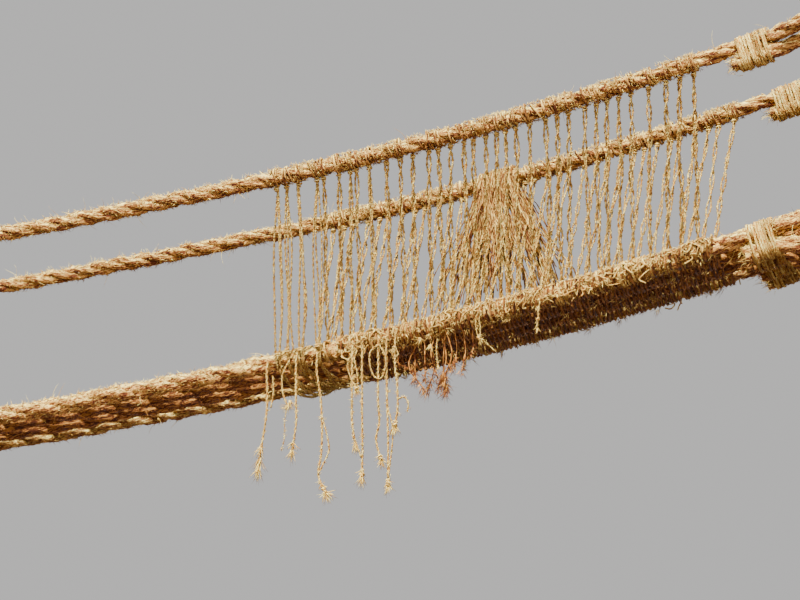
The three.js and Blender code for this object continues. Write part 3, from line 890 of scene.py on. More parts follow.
def make_ropes(materials):
    """The two handrails and the four floor ropes, each one rope from bank to bank."""
    fuzz, cords = materials["fuzz"], materials["cord"]
    for number, side in enumerate(SIDES):
        shapes = Shapes(SEEDS["handrail"] + number)
        path = resampled(rail_path(side), partial(rope_step, OUTER_STEP))
        hairy(shapes, laid_rope(shapes, path, RAIL_RADIUS, UP, RAIL_LOOKS), RAIL_LOOKS[-1], BARE_RAIL)
        for bank in BANKS:
            make_seizing(shapes, bank, partial(rail_points, bank, side), RAIL_SEIZING, RAIL_RADIUS)
        rope_piece(shapes, f"handrail_{side}", [materials["rope"], fuzz, cords])
    # Painted light: the inner floor ropes take darker copies of the grass, painted shade as under the outer
    # ones, and the last rope a copy whose lower side is painted lighter, as if lit
    inner = [materials["inner_rope"], materials["inner_fuzz"], cords]
    skins = [[materials["floor_rope"], fuzz, cords], inner, inner, [materials["last_rope"], fuzz, cords]]
    for rope, looks in enumerate(FLOOR_LOOKS):
        shapes = Shapes(SEEDS["floor_rope"] + rope)
        step = OUTER_STEP if rope in EDGE_ROPE.values() else INNER_STEP
        path = resampled(floor_path(rope), partial(rope_step, step))
        hairy(shapes, laid_rope(shapes, path, FLOOR_RADIUS, ACROSS, looks), looks[-1], BARE_FLOOR)
        for bank in BANKS:
            make_seizing(shapes, bank, partial(floor_points, bank, rope), FLOOR_SEIZING, FLOOR_RADIUS)
        rope_piece(shapes, f"floor_rope_{rope + 1}", skins[rope])


def rope_piece(shapes, name, skins):
    """One rope, which stands for the three stretches that the solids cut it in."""
    shapes.piece(name, skins, [f"{name}_{part}" for part in ("east", "middle", "west")], "grass_rope")


def raised(centre_at, height, distance):
    return centre_at(distance) + UP * height


def make_seizing(shapes, bank, centre_at, span, radius):
    """Close, uneven turns of cord round both legs of a rope's eye, with the cut leg frayed."""
    rng = shapes.rng
    turns = int((span[1] - span[0]) / (1.9 * SEIZING_THICK))
    half = 7 if bank == SEEN_BANK else 5
    arc = np.concatenate([np.linspace(start, start + np.pi, half) for start in (-np.pi / 2, np.pi / 2)])
    shift = np.repeat([radius, -radius], half)
    arc, shift = np.tile(arc, turns), np.tile(shift, turns)
    distance = np.linspace(*span, len(arc))
    distance = distance + 0.006 * wander(distance, 0.05, rng)
    centre = centre_at(distance) - UP * radius
    along, side, over = frames(centre, UP)
    reach = radius + SEIZING_THICK * 0.7 + 0.005 * wander(distance, 0.03, rng)
    path = centre + side * (reach * np.sin(arc))[:, None] + over * (reach * np.cos(arc) + shift)[:, None]
    tone = 0.55 + 0.4 * wander(distance, 0.012, rng)
    thick = SEIZING_THICK * (1 + 0.12 * wander(distance, 0.01, rng))
    shapes.tube(path, thick, 5, along, tone, EXTRA)
    if bank == SEEN_BANK:
        for height in (0.0, -2.0 * radius):
            leg = partial(raised, centre_at, height)
            shaggy(shapes, leg, span, radius + SEIZING_THICK, 300, SHAG["seizing"])
        cut = centre_at(np.array([EYE_TAIL, EYE_TAIL - 0.05])) - UP * (2 * radius)
        way = unit(cut[0] - cut[1])
        tuft(shapes, cut[0] - way * 0.02, way, 70, 0.07, 0.45, 0.0045, 0.7, droop=0.1, scatter=radius * 0.45)


# Cords: nets, lashings and cord ends


PLY_SECTION = {
    8: np.array([1.0, 0.86, 0.50, 0.86, 1.0, 0.86, 0.50, 0.86]),
    6: np.array([1.0, 0.66, 0.66, 1.0, 0.66, 0.66]),
    4: np.array([1.0, 0.66, 1.0, 0.66]),
}
# Tone round a ply's ring: painted shade in the creases where the two plies meet
PLY_SHADE = {
    8: np.array([1.0, 0.7, 0.0, 0.7, 1.0, 0.7, 0.0, 0.7]),
    6: np.array([1.0, 0.45, 0.45, 1.0, 0.45, 0.45]),
    4: np.array([1.0, 0.2, 1.0, 0.2]),
}
PLY_LAY = 0.085


def cord(shapes, path, radius, sides, tone):
    """A cord of two plies twisted together, thicker and thinner along its length."""
    rng = shapes.rng
    length = lengths_along(path)
    section = PLY_SECTION[sides]
    uneven = 0.08 * wander(length, 0.12, rng) + 0.08 * wander(length, 0.04, rng)
    thick = radius * (1 + np.clip(uneven, -0.15, 0.15))
    twist = 2 * np.pi * length / PLY_LAY + rng.uniform(0, 6)
    # Painted shade between the plies, with random tone
    shade = np.clip(tone * PLY_SHADE[sides][None] + 0.25 * rng.normal(size=(len(path), sides)), 0, 1)
    shapes.tube(path, thick[:, None] * section[None], sides, ALONG, shade, twist=twist)


def wound(shapes, centre_at, span, turns, radius, thick, reference, seen, per_turn, tone, jitter=0.002,
          slot=BODY):
    """Turns of cord round what runs through the centre line, coarser where they aren't seen."""
    rng = shapes.rng
    sides = 5 if seen else 4
    part = np.linspace(0, 1, int(turns * per_turn) + 1)
    centre = centre_at(span[0] + (span[1] - span[0]) * part)
    along, side, over = frames(centre, reference)
    angle = rng.uniform(0, 2 * np.pi) + 2 * np.pi * turns * part
    ends = np.sin(np.pi * part) ** 0.3
    reach = radius + thick * (1.7 * ends - 0.9) + jitter * wander(angle, 4.0, rng)
    path = centre + reach[:, None] * spoke(angle, over, side)
    path = path + along * (0.004 * wander(angle, 5.0, rng))[:, None]
    size = thick * (1 + 0.12 * wander(angle, 2.0, rng)[:, None] + 0.12 * rng.normal(size=(len(path), sides)))
    shade = tone * (0.75 + 0.25 * wander(angle, 3.0, rng))
    shapes.tube(path, size, sides, along, shade, slot)


def tuft(shapes, place, heading, count, length, spread, width=0.003, tone=0.85, droop=0.25, joints=2,
         scatter=0.004, slot=HAIR):
    """A tuft of loose fibres that fan out from one place and droop."""
    rng = shapes.rng
    roots = place + rng.normal(size=(count, 3)) * scatter
    ways = unit(np.asarray(heading, float)) + rng.normal(size=(count, 3)) * spread
    ways[:, 2] -= droop
    shapes.fibres(roots, ways, length * rng.uniform(0.4, 1.0, count), width * rng.uniform(0.7, 1.3, count),
                  0.35, joints, tone * rng.uniform(0.6, 1.0, count), slot)


def knot(shapes, place, size, thick, tone=0.7):
    """A small tied knot: one cord crossing itself in three lobes."""
    t = np.linspace(0, 2 * np.pi, 30, endpoint=False)
    lobes = [np.sin(t) + 2 * np.sin(2 * t), np.cos(t) - 2 * np.cos(2 * t), -1.4 * np.sin(3 * t)]
    turn = np.linalg.qr(shapes.rng.normal(size=(3, 3)))[0]
    shapes.tube(np.asarray(place) + np.stack(lobes, axis=1) * size / 3 @ turn.T, thick, 5, turn[:, 2], tone)


def pair(shapes, line, sides):
    """Two cords loosely twisted round each other along a line."""
    rng = shapes.rng
    length = lengths_along(line)
    part = length / length[-1]
    _, side, over = frames(line, ALONG)
    sway = np.sin(np.pi * part) * rng.uniform(0.4, 1.0)
    line = line + over * (0.012 * sway * wander(length, 0.9, rng))[:, None]
    line = line + side * (0.014 * sway * wander(length, 0.7, rng))[:, None]
    turns = rng.uniform(1.4, 4.2) * (1 if rng.random() < 0.8 else -1)
    phase = rng.uniform(0, 2 * np.pi)
    apart = PAIR_GAP * (1.0 + 0.4 * wander(length, 0.35, rng))
    thick = CORD_RADIUS * rng.uniform(0.88, 1.12)
    shade = rng.uniform(0.8, 1.0)
    for leg in (0, np.pi):
        angle = phase + leg + 2 * np.pi * turns * part
        path = line + apart[:, None] * spoke(angle, over, side)
        cord(shapes, path, thick, sides, shade)


def cord_fuzz(shapes, count, line, size=0.022):
    """Short fibres that stand out all along a cord."""
    rng = shapes.rng
    picked = rng.integers(0, len(line), count)
    way = rng.normal(size=(count, 3)) + UP * rng.choice([-1.0, 1.0], count)[:, None]
    shapes.fibres(line[picked] + rng.normal(size=(count, 3)) * 0.005, way,
                  size * rng.uniform(0.5, 1.3, count), 0.0034, 0.2, 1, rng.uniform(0.5, 1.0, count))


def hitch(shapes, centre_at, distance, gap, seen, looks):
    """One hanger's hold on a rope: a rough turn at the hanger and others that slant to the next."""
    radius, darkest, slot = looks
    rng = shapes.rng
    turns_at = [(-0.18, 0.16, 1.5)]
    for _ in range(max(1, round(gap / 0.10)) if seen else 1):
        middle, slant = rng.uniform(0.3, 0.7), rng.uniform(0.35, 0.9) * rng.choice([-1.0, 1.0])
        turns_at.append((middle - slant / 2, middle + slant / 2, 1.0))
    for start, end, turns in turns_at:
        span = distance + gap * (np.array([start, end]) + rng.normal() * 0.06)
        thick = WRAP_RADIUS * (rng.uniform(0.8, 1.1) if turns > 1 else rng.uniform(0.55, 0.85))
        swell = rng.uniform(-0.004, 0.003)
        wound(shapes, centre_at, span, turns, radius + swell, thick, UP, seen, 11 if seen else 7,
              rng.uniform(darkest, 1.0), 0.005, slot)


def net_ends(bank, side, distance, rng):
    """Where a hanger leaves the handrail, where it meets the edge rope, and its way down."""
    if side == "near":
        sway = rng.normal() * 0.012
    else:
        sway = rng.uniform(-0.03, 0.05) if distance < FAR_STEEP else rng.uniform(-0.07, 0.0)
    top = rail_points(bank, side, distance + rng.normal() * 0.004)
    foot = floor_points(bank, EDGE_ROPE[side], distance + HANGER_LEAN[side] + sway)
    down = unit(foot - top)
    return top + down * (RAIL_RADIUS + 0.010), foot - down * (FLOOR_RADIUS + 0.004), down


def hanger(shapes, top, foot, down, seen, step):
    """A doubled cord from the handrail to the edge rope, with a knot at its foot."""
    count = int(np.linalg.norm(foot - top) / step)
    line = top + (foot - top) * np.linspace(0, 1, count)[:, None]
    pair(shapes, line, 6 if seen else 4)
    cord_fuzz(shapes, 100 if seen else 6, line)
    end_knot(shapes, foot, -down, 0.022, seen, 0.9)


def end_knot(shapes, place, way, length, seen, tone):
    """Close turns round the two legs of a hanger, where it leaves a rope."""
    centre_at = partial(out_of_rope, place, way)
    wound(shapes, centre_at, (0.0, length), 2.0, 0.011, 0.0066, ALONG, seen, 8 if seen else 6, tone)


def out_of_rope(place, way, distance):
    return place + way * (distance - 0.006)[..., None]


def side_net(bank, side, materials):
    """Hitches along the handrail and the edge rope, the hangers between them, and what hangs loose there."""
    shapes = Shapes(SEEDS[f"net_{bank}"] + SIDES.index(side))
    hang_net(shapes, bank, side)
    woven = (HANGERS[side][0] - NET_MARGIN, HANGERS[side][-1] + NET_MARGIN)
    on_rail = partial(rail_points, bank, side)
    shaggy(shapes, on_rail, woven, RAIL_RADIUS + 0.006, RAIL_SHAG[bank], SHAG["rail"])
    if bank == SEEN_BANK:
        on_edge = partial(floor_points, bank, EDGE_ROPE[side])
        edge = (LASHING_START - 0.02, LASHING_END + 0.03)
        shaggy(shapes, on_edge, edge, FLOOR_RADIUS + 0.010, EDGE_SHAG[side], SHAG["edge"])
        ragged_edge(shapes, on_edge, OUTWARD[side])
        if side == "far":
            skein(shapes)
        else:
            edge_details(shapes)
    names = [f"side_net_{bank}_{side}_{panel}" for panel in (1, 2)]
    skins = [materials[name] for name in ("cord", "fuzz", "rope", "inner_fuzz")]
    shapes.piece(f"side_net_{bank}_{side}", skins, names, "grass_cord")


def hang_net(shapes, bank, side):
    """Each hanger with its hitches. The outermost near ones on the seen bank run on under the deck."""
    rng = shapes.rng
    seen = bank == SEEN_BANK
    step = HANGER_STEP[side] if seen else UNSEEN_HANGER_STEP
    on_rail, on_edge = partial(rail_points, bank, side), partial(floor_points, bank, EDGE_ROPE[side])
    hangers = HANGERS[side]
    gaps = np.diff(hangers + [hangers[-1] + 2 * NET_MARGIN])
    for number, (distance, gap) in enumerate(zip(hangers, gaps)):
        loose = number >= len(hangers) - LOOSE_HANGERS
        hitch(shapes, on_rail, distance, gap, seen, RAIL_HITCH)
        if not loose:
            hitch(shapes, on_edge, distance + HANGER_LEAN[side], gap, seen, EDGE_HITCH)
        top, foot, down = net_ends(bank, side, distance, rng)
        if loose and side == "near" and seen:
            loose_lashing(shapes, top, distance)
        else:
            hanger(shapes, top, foot, down, seen, step)
        end_knot(shapes, top, down, 0.034, seen, 0.95)
        if seen:
            way = -UP + OUTWARD[side] * rng.uniform(-1, 1)
            tuft(shapes, top + down * 0.012, way, 12, 0.035, 0.7, tone=0.8)


def ragged_edge(shapes, on_edge, outward):
    """Tufts and slack bights of cord, strewn unevenly along the edge of the deck."""
    rng = shapes.rng
    for _ in range(RAGGED_TUFTS):
        place = on_edge(rng.uniform(LASHING_START, LASHING_END)) + outward * (FLOOR_RADIUS + 0.004)
        way = outward * rng.uniform(0.2, 0.8) + UP * rng.uniform(-1.0, 0.3) + ALONG * rng.normal() * 0.8
        place = place + UP * rng.uniform(-0.04, 0.035)
        length, tone = rng.uniform(0.03, 0.065), rng.uniform(0.4, 1.0)
        tuft(shapes, place, way, 12, length, 0.45, 0.0042, tone, droop=0.2)
    for _ in range(RAGGED_BIGHTS):
        place = on_edge(rng.uniform(LASHING_START, LASHING_END)) + outward * (FLOOR_RADIUS + 0.006)
        place = place + UP * rng.uniform(-0.045, 0.045)
        anchors = [place]
        for _ in range(3):
            place = place + ALONG * rng.normal() * 0.026 + UP * (rng.normal() * 0.022 - 0.006)
            anchors.append(place + outward * rng.uniform(0.0, 0.014))
        line = centripetal(anchors, 4)
        shapes.tube(line, rng.uniform(0.0032, 0.0056), 4, outward, rng.uniform(0.5, 1.0))


def edge_details(shapes):
    """The loops and short ends that the photograph shows along the near edge of the deck."""
    rng = shapes.rng
    for depth, thick, places in EDGE_CORDS:
        line = even(centripetal([(x, depth, z) for x, z in places]), 0.013)
        cord(shapes, line, thick, 6, rng.uniform(0.85, 1.0))
        cord_fuzz(shapes, int(60 * lengths_along(line)[-1] / 0.3), line)
    for x, y, z, size in EDGE_KNOTS:
        knot(shapes, (x, y, z), size, 0.0068, tone=0.75)
    for x, y, z, heading, count, length in EDGE_TUFTS:
        tuft(shapes, np.array([x, y, z]), heading, count, length, 0.4, 0.0045, 1.0, droop=0.1, joints=3)
    underside_ends(shapes)


def underside_ends(shapes):
    """Cord ends and ragged tufts that hang from beneath the deck, in the sun lower down."""
    rng = shapes.rng
    for x, drop, count, length in UNDERSIDE_ENDS:
        y = FLOOR_EDGE + rng.uniform(-0.04, 0.02)
        start = np.array([x, y, float(floor_z(np.array(x), 0)) - FLOOR_RADIUS])
        bend = rng.normal(size=3) * 0.025
        anchors = [start, start - UP * drop * 0.5 + bend, start - UP * drop - bend * 0.6]
        line = even(centripetal(anchors), 0.015)
        shapes.tube(line, rng.uniform(0.0035, 0.0060), 4, ALONG, rng.uniform(0.2, 0.9, len(line)), SHADED)
        for back in (1, 3, 5, 8):
            way = -UP + rng.normal(size=3) * 0.6
            place = line[-min(back, len(line))]
            tuft(shapes, place, way, count // 2, length, 0.55, 0.0048, 1.0, scatter=0.010, slot=SHADED)


def loose_lashing(shapes, top, distance):
    """The outermost hangers pass before the edge rope and run under all four floor ropes."""
    rng = shapes.rng
    lean = HANGER_LEAN["near"]
    for _ in range(3):
        x0 = -distance - lean + rng.normal() * 0.014
        drift = rng.uniform(-0.05, 0.09)
        low = rng.uniform(0.09, 0.17)
        edge = float(floor_z(np.array(x0), 0))
        far = float(floor_z(np.array(x0 + drift), FLOOR_COUNT - 1))
        anchors = [
            top + ALONG * rng.normal() * 0.006,
            (x0 + 0.65 * lean + rng.normal() * 0.015, 0.10, top[2] + 0.35 * (edge - top[2])),
            (x0 + 0.28 * lean + rng.normal() * 0.015, 0.19, top[2] + 0.72 * (edge - top[2])),
            (x0, FLOOR_EDGE - FLOOR_RADIUS - 0.010, edge + 0.03),
            (x0 + 0.1 * drift, FLOOR_EDGE - FLOOR_RADIUS * 0.8, edge - 0.052),
            (x0 + 0.4 * drift, FLOOR_EDGE + 0.16, edge - low),
            (x0 + 0.8 * drift, FLOOR_EDGE + 0.50, far - low * 0.9),
            (x0 + drift, RAIL_GAP - FLOOR_EDGE - 0.01, far - FLOOR_RADIUS - 0.008),
            (x0 + drift, RAIL_GAP - FLOOR_EDGE + FLOOR_RADIUS + 0.008, far),
            (x0 + drift, RAIL_GAP - FLOOR_EDGE - 0.01, far + FLOOR_RADIUS + 0.008),
            (x0 + 0.5 * drift, RAIL_GAP / 2, (far + edge) / 2 + FLOOR_RADIUS + 0.004),
            (x0 + 0.02, FLOOR_EDGE + 0.01, edge + FLOOR_RADIUS + 0.008),
            (x0 + 0.02, FLOOR_EDGE - FLOOR_RADIUS - 0.006, edge),
        ]
        line = even(centripetal(anchors), 0.018)
        cord(shapes, line, CORD_RADIUS * rng.uniform(0.85, 1.05), 6, rng.uniform(0.85, 1.0))
        cord_fuzz(shapes, 100, line)
    at_edge = np.array([-distance - lean, FLOOR_EDGE - FLOOR_RADIUS - 0.014, edge + 0.05])
    end_knot(shapes, at_edge, -UP, 0.030, True, 0.8)
    tuft(shapes, at_edge, -UP, 40, 0.06, 0.8, 0.0042, 0.9)


def skein(shapes):
    """A bundle of loose cords laid over the far handrail, ready for the weaving."""
    rng = shapes.rng
    for _ in range(SKEIN_CORDS):
        part = rng.uniform(0, 1)
        x = SKEIN_WEST + (SKEIN_EAST - SKEIN_WEST) * part
        rail = float(rail_z(np.array(x)))
        inner = rng.uniform(0.50, 0.98)
        outer = rng.uniform(0.35, 0.9)
        lean = (part - 0.42) * 0.85 + rng.normal() * 0.09
        over = RAIL_RADIUS + rng.uniform(0.018, 0.036)
        loose = rng.normal(size=4) * 0.024
        anchors = [
            (x + lean * inner, RAIL_GAP - over - 0.05 * rng.random(), rail - inner),
            (x + lean * inner * 0.72 + loose[0], RAIL_GAP - over - 0.03, rail - inner * 0.75),
            (x + lean * inner * 0.45 + loose[1], RAIL_GAP - over - 0.02, rail - inner * 0.5),
            (x + lean * inner * 0.20 + loose[2], RAIL_GAP - over - 0.01, rail - inner * 0.25),
            (x + 0.01 * rng.normal(), RAIL_GAP - over, rail - 0.03),
            (x, RAIL_GAP, rail + over),
            (x + 0.01 * rng.normal(), RAIL_GAP + over, rail - 0.03),
            (x + lean * outer * 0.4 + loose[3], RAIL_GAP + over + 0.02, rail - outer * 0.5),
            (x + lean * outer, RAIL_GAP + over + 0.04 * rng.random(), rail - outer),
        ]
        line = even(centripetal(anchors), 0.036)
        line = line + 0.002 * rng.normal(size=line.shape)
        uneven = rng.uniform(0.0036, 0.0060) * (1 + 0.2 * rng.normal(size=(len(line), 4)))
        tone = rng.uniform(0.0, 1.0) + 0.20 * rng.normal(size=(len(line), 4))
        shapes.tube(line, uneven, 4, ALONG, tone, rng.choice([BODY, EXTRA, EXTRA]))
        cord_fuzz(shapes, 12, line, 0.030)


def make_nets(materials):
    for bank in BANKS:
        for side in SIDES:
            side_net(bank, side, materials)


def lashing_pass(shapes, bank, number):
    """One pass across the deck, over and under by turns, and the turn back up round the last rope."""
    rng = shapes.rng
    spacing = PASS_SPACING[bank]
    reach = FLOOR_RADIUS + LASHING_RADIUS * 0.8
    across = np.linspace(0, FLOOR_WIDTH, PASS_SAMPLES[bank])
    turn = np.linspace(-np.pi / 2, np.pi / 2, 7)[1:-1]
    y = np.concatenate([across, FLOOR_WIDTH + reach * np.cos(turn)])
    z = np.concatenate([reach * np.cos(np.pi * across / FLOOR_PITCH), reach * np.sin(turn)])
    if number % 2:
        y = FLOOR_WIDTH - y
    distance = LASHING_START + (number + 0.5) * spacing + 0.003 * rng.normal()
    wavy = distance + 0.005 * wander(across, 0.4, rng)
    x = bank_x(bank, np.concatenate([wavy, wavy[-1] + spacing * np.linspace(0.2, 0.8, len(turn))]))
    tilt = FLOOR_TILT * np.clip(y / FLOOR_WIDTH, 0, 1)
    return points_of(x, FLOOR_EDGE + y, rail_z(x) - FLOOR_DROP - tilt + z)


def make_lashings(materials):
    """Cord woven over and under the floor ropes, back and forth, pass beside pass."""
    skins = [materials[name] for name in ("deck", "brush", "cord")]
    for bank in BANKS:
        shapes = Shapes(SEEDS[f"lashing_{bank}"])
        rng = shapes.rng
        for number in range(int((LASHING_END - LASHING_START) / PASS_SPACING[bank])):
            path = lashing_pass(shapes, bank, number)
            length = lengths_along(path)
            thick = LASHING_RADIUS * rng.uniform(0.8, 1.1) * (1 + 0.1 * wander(length, 0.1, rng))
            tone = rng.uniform(0.1, 0.9) + 0.25 * wander(length, 0.15, rng)
            shapes.tube(path, thick, 4, ALONG, tone)
            if bank == SEEN_BANK:
                lashing_fuzz(shapes, path)
        if bank == SEEN_BANK:
            for side, count in EDGE_BIGHTS.items():
                edge_bights(shapes, side, count)
            side_tufts(shapes)
        shapes.piece(f"lashing_cords_{bank}", skins, [f"deck_lashing_{bank}"], "deck_cord")


def lashing_fuzz(shapes, path):
    """Dark fibres that stand out of one pass."""
    rng = shapes.rng
    roots = path[rng.integers(0, len(path), PASS_FUZZ)]
    heading = rng.normal(size=(PASS_FUZZ, 3)) - UP * 0.2
    length = 0.014 + 0.02 * rng.random(PASS_FUZZ)
    shapes.fibres(roots, heading, length, 0.0040, tone=rng.uniform(0.0, 0.6, PASS_FUZZ))


def edge_bights(shapes, side, count):
    """Slack bights of cord, piled in clumps over an edge rope."""
    rng = shapes.rng
    clumps = rng.uniform(LASHING_START, LASHING_END, count // 6)
    for number in range(count):
        middle = clumps[number % len(clumps)] + rng.normal() * 0.035
        distance = np.clip(middle + np.cumsum(rng.normal(size=5) * 0.026), LASHING_START, LASHING_END)
        turn = np.linspace(rng.uniform(-0.7, 0.5), rng.uniform(1.1, 2.1), 5)
        reach = FLOOR_RADIUS + 0.014 + rng.uniform(0.0, 0.016, (5, 1))
        on_rope = floor_points(SEEN_BANK, EDGE_ROPE[side], distance)
        line = even(centripetal(on_rope + reach * spoke(turn, UP, OUTWARD[side]), 6), 0.016)
        shade = rng.uniform(0.15, 0.9) + 0.2 * rng.normal(size=(len(line), 4))
        shapes.tube(line, rng.uniform(0.0042, 0.0074), 4, ALONG, np.clip(shade, 0, 1), EXTRA)


def side_tufts(shapes):
    """Tufts of brown grass that stick out of the near side and the underside of the weaving."""
    rng = shapes.rng
    for _ in range(SIDE_TUFTS):
        rope = rng.integers(FLOOR_COUNT)
        place = floor_points(SEEN_BANK, rope, rng.uniform(LASHING_START, LASHING_END))
        turn = rng.uniform(1.2, 3.0) if rope == 0 else rng.uniform(2.4, 3.4)
        out = math.cos(turn) * UP - math.sin(turn) * ACROSS
        way = out * 0.6 - UP * 0.5 + ALONG * rng.normal() * 0.9
        length, tone = rng.uniform(0.045, 0.095), rng.uniform(0.6, 1.2)
        tuft(shapes, place + out * (FLOOR_RADIUS + 0.014), way, 12, length, 0.5, 0.0048, tone, droop=0.1,
             joints=1, scatter=0.012)


def loft(distance):
    """How thick the mat lies: less and less towards the last passes of the weaving."""
    return np.interp(distance, (MAT_THINS, LASHING_END), (1.0, 0.1))


def mat_z(x, above):
    """Height over the middle of the floor ropes."""
    return rail_z(x) - FLOOR_DROP - FLOOR_TILT * 0.5 + above


def lay_sticks(shapes, bank, low, high):
    """Thin sticks across the ropes."""
    rng = shapes.rng
    for _ in range(STICKS[bank]):
        distance = rng.uniform(MAT_START + 0.02, LASHING_END - 0.02)
        bed = FLOOR_RADIUS if distance < LASHING_START else LASHING_HALF
        y = np.linspace(rng.uniform(low, low + 0.2), rng.uniform(high - 0.2, high), 8)
        x = bank_x(bank, distance + rng.normal() * 0.06 * (y - 0.7) + 0.006 * wander(y, 0.5, rng))
        thick = rng.uniform(0.004, 0.009)
        z = mat_z(x, bed + thick + rng.uniform(0.0, 0.016) * loft(distance))
        shapes.tube(points_of(x, y, z), thick * np.linspace(1, 0.6, 8), 5, ALONG, rng.uniform(0.3, 0.9))


def strew_grass(shapes, bank, low, high):
    """Long dry blades of grass, most of them along the bridge."""
    rng = shapes.rng
    count = STRAWS[bank]
    distance = rng.uniform(MAT_START + 0.05, LASHING_END - 0.1, count)
    x = bank_x(bank, distance)
    y = rng.uniform(low + 0.03, high - 0.03, count)
    bed = np.where(distance < LASHING_START, FLOOR_RADIUS + 0.006, LASHING_HALF)
    roots = points_of(x, y, mat_z(x, bed + rng.uniform(0.004, 0.03, count) * loft(distance)))
    turn = rng.normal(0, 0.9, count) + np.where(rng.random(count) < 0.5, 0, np.pi)
    ways = points_of(np.cos(turn), 0.7 * np.sin(turn), rng.normal(0, 0.04, count))
    ways[:, 2] += ways[:, 0] * (0.20 * TOWARDS_BANK[bank][0])
    length, width = rng.uniform(0.06, 0.24, count), rng.uniform(0.003, 0.006, count)
    shapes.fibres(roots, ways, length, width, 0.12, 3, rng.uniform(0.2, 1.0, count))


def make_mats(materials):
    """Thin sticks laid across the ropes, with loose dry grass strewn on them."""
    low, high = FLOOR_EDGE + MAT_MARGIN + 0.01, RAIL_GAP - FLOOR_EDGE - MAT_MARGIN - 0.01
    for bank in BANKS:
        shapes = Shapes(SEEDS[f"mat_{bank}"])
        lay_sticks(shapes, bank, low, high)
        strew_grass(shapes, bank, low, high)
        skins = [materials["stick"], materials["brush"]]
        shapes.piece(f"brush_mat_{bank}", skins, [f"deck_mat_{bank}"], "deck_brush")


# Hanging cord ends below the near edge of the east deck


def tail_path(points):
    top = float(rail_z(np.array(points[0][0]))) - FLOOR_DROP
    anchors = [
        (points[0][0], FLOOR_EDGE - FLOOR_RADIUS / 2, top),
        (points[0][0], TAIL_OUT + 0.006, top - 0.006),
        (points[0][0], TAIL_OUT, top - 0.040),
    ]
    anchors += [(x, TAIL_OUT, z) for x, z in points]
    return centripetal(anchors)


def make_tails(materials):
    for number, points in TAILS.items():
        shapes = Shapes(SEEDS["tail"] + number)
        line = even(tail_path(points), TAIL_STEP)
        cord(shapes, line, TAIL_SKIN, 8, 1.0)
        skins = [materials["cord"]]
        tail = shapes.piece(f"tail_cord_{number}", skins, [f"hanging_tail_{number}"], "grass_cord")
        fray = make_fray(number, line, materials)


def make_fray(number, line, materials):
    """The knots, side legs and loose fibres of one cord end."""
    shapes = Shapes(SEEDS["fray"] + number)
    rng = shapes.rng
    heading = unit(line[-1] - line[-4])
    cord_fuzz(shapes, 150, line)
    for places in SIDE_LEGS.get(number, []):
        leg = even(centripetal([(x, TAIL_OUT - 0.006, z) for x, z in places]), 0.012)
        cord(shapes, leg, TAIL_SKIN * 0.85, 6, 1.0)
        cord_fuzz(shapes, 40, leg)
    for back, count, length, spread in TAIL_BRUSHES[number]:
        start = line[-1 - int(back / TAIL_STEP)]
        tuft(shapes, start, heading, count, length, spread, 0.0054, 1.0, droop=0.0, joints=3)
    if TAIL_ENDS[number] == "knot":
        knot(shapes, line[-1], 0.014, 0.0078)
        knot(shapes, line[-4], 0.011, 0.007)
    for _ in range(4):
        at = line[rng.integers(len(line) // 3, len(line) - 4)]
        tuft(shapes, at, rng.normal(size=3), 10, 0.045, 0.5, 0.0034)
    return shapes.piece(f"tail_fray_{number}", [materials["cord"], materials["fuzz"]], [], "grass_cord")


# Posts and cross logs


def timber(shapes, base, axis, outward, heights, radius_at):
    """A peeled log with its sawn ends. Outward is the way from which its angles count."""
    angle = corners(TIMBER_SIDES)
    angle = np.where(angle > np.pi, angle - 2 * np.pi, angle)
    radius = radius_at(heights[:, None], angle[None])
    inner = np.array([0.96, 0.7, 0.4, 0.12])[:, None]
    radius = np.vstack([radius[:1] * inner[::-1], radius, radius[-1:] * inner])
    level = np.concatenate([np.full(4, heights[0]), heights, np.full(4, heights[-1])])
    tone = np.concatenate([np.zeros(4), np.ones(len(heights)), np.zeros(4)])
    around = spoke(angle, outward, np.cross(axis, outward))
    rings = np.asarray(base, float) + level[:, None, None] * axis + radius[..., None] * around[None]
    grain = np.stack([
        np.broadcast_to(level[:, None] + shapes.rng.uniform(0, 9), radius.shape),
        radius * np.cos(angle), radius * np.sin(angle),
    ], axis=-1)
    tone = np.repeat(tone, TIMBER_SIDES)
    shapes.add(rings, grain, tone, tube_faces(len(level), TIMBER_SIDES), BODY)


def weathered(radius, height, angle, seeds):
    """The peeled surface: hollows along the grain and a few checks, never proud of the radius."""
    hollows = sum(np.sin(k * angle + 1.3 * height * (k % 3 - 1) + seeds[k]) for k in (2, 3, 5)) / 3
    checks = np.exp(-((np.sin((angle - seeds[7]) / 2 + 0.12 * np.sin(1.7 * height + seeds[8]))) / 0.045) ** 2)
    knots = 0.5 + 0.5 * np.sin(3.1 * height + seeds[9]) * np.cos(angle + seeds[10])
    return radius - 0.0035 * (1 + hollows) - 0.012 * checks - 0.003 * knots


def rope_groove(radius, reach, rope_radius, off_centre, held):
    """Cuts the rope's own round hollow where it lies against the wood."""
    inside = np.sqrt(np.clip(rope_radius**2 - off_centre**2, 0, None))
    hollow = np.where(np.abs(off_centre) < rope_radius, reach - inside, radius)
    return np.where(held, np.minimum(radius, hollow), radius)


def post_radius(seeds, turned, height, angle):
    """Radius of a tapering post, grooved where the handrail climbs round it."""
    top = RAIL_HEIGHT + POST_HEAD
    plain = POST_FOOT_RADIUS + (POST_TOP_RADIUS - POST_FOOT_RADIUS) * height / top
    plain = weathered(plain, height, angle, seeds) - 0.006 * (height > top - 0.004)
    off_centre = height - rail_on_post(0.5 * (1 - turned * angle / rail_wrap()))
    return rope_groove(plain, rail_reach(), RAIL_RADIUS, off_centre, np.abs(angle) < rail_wrap())


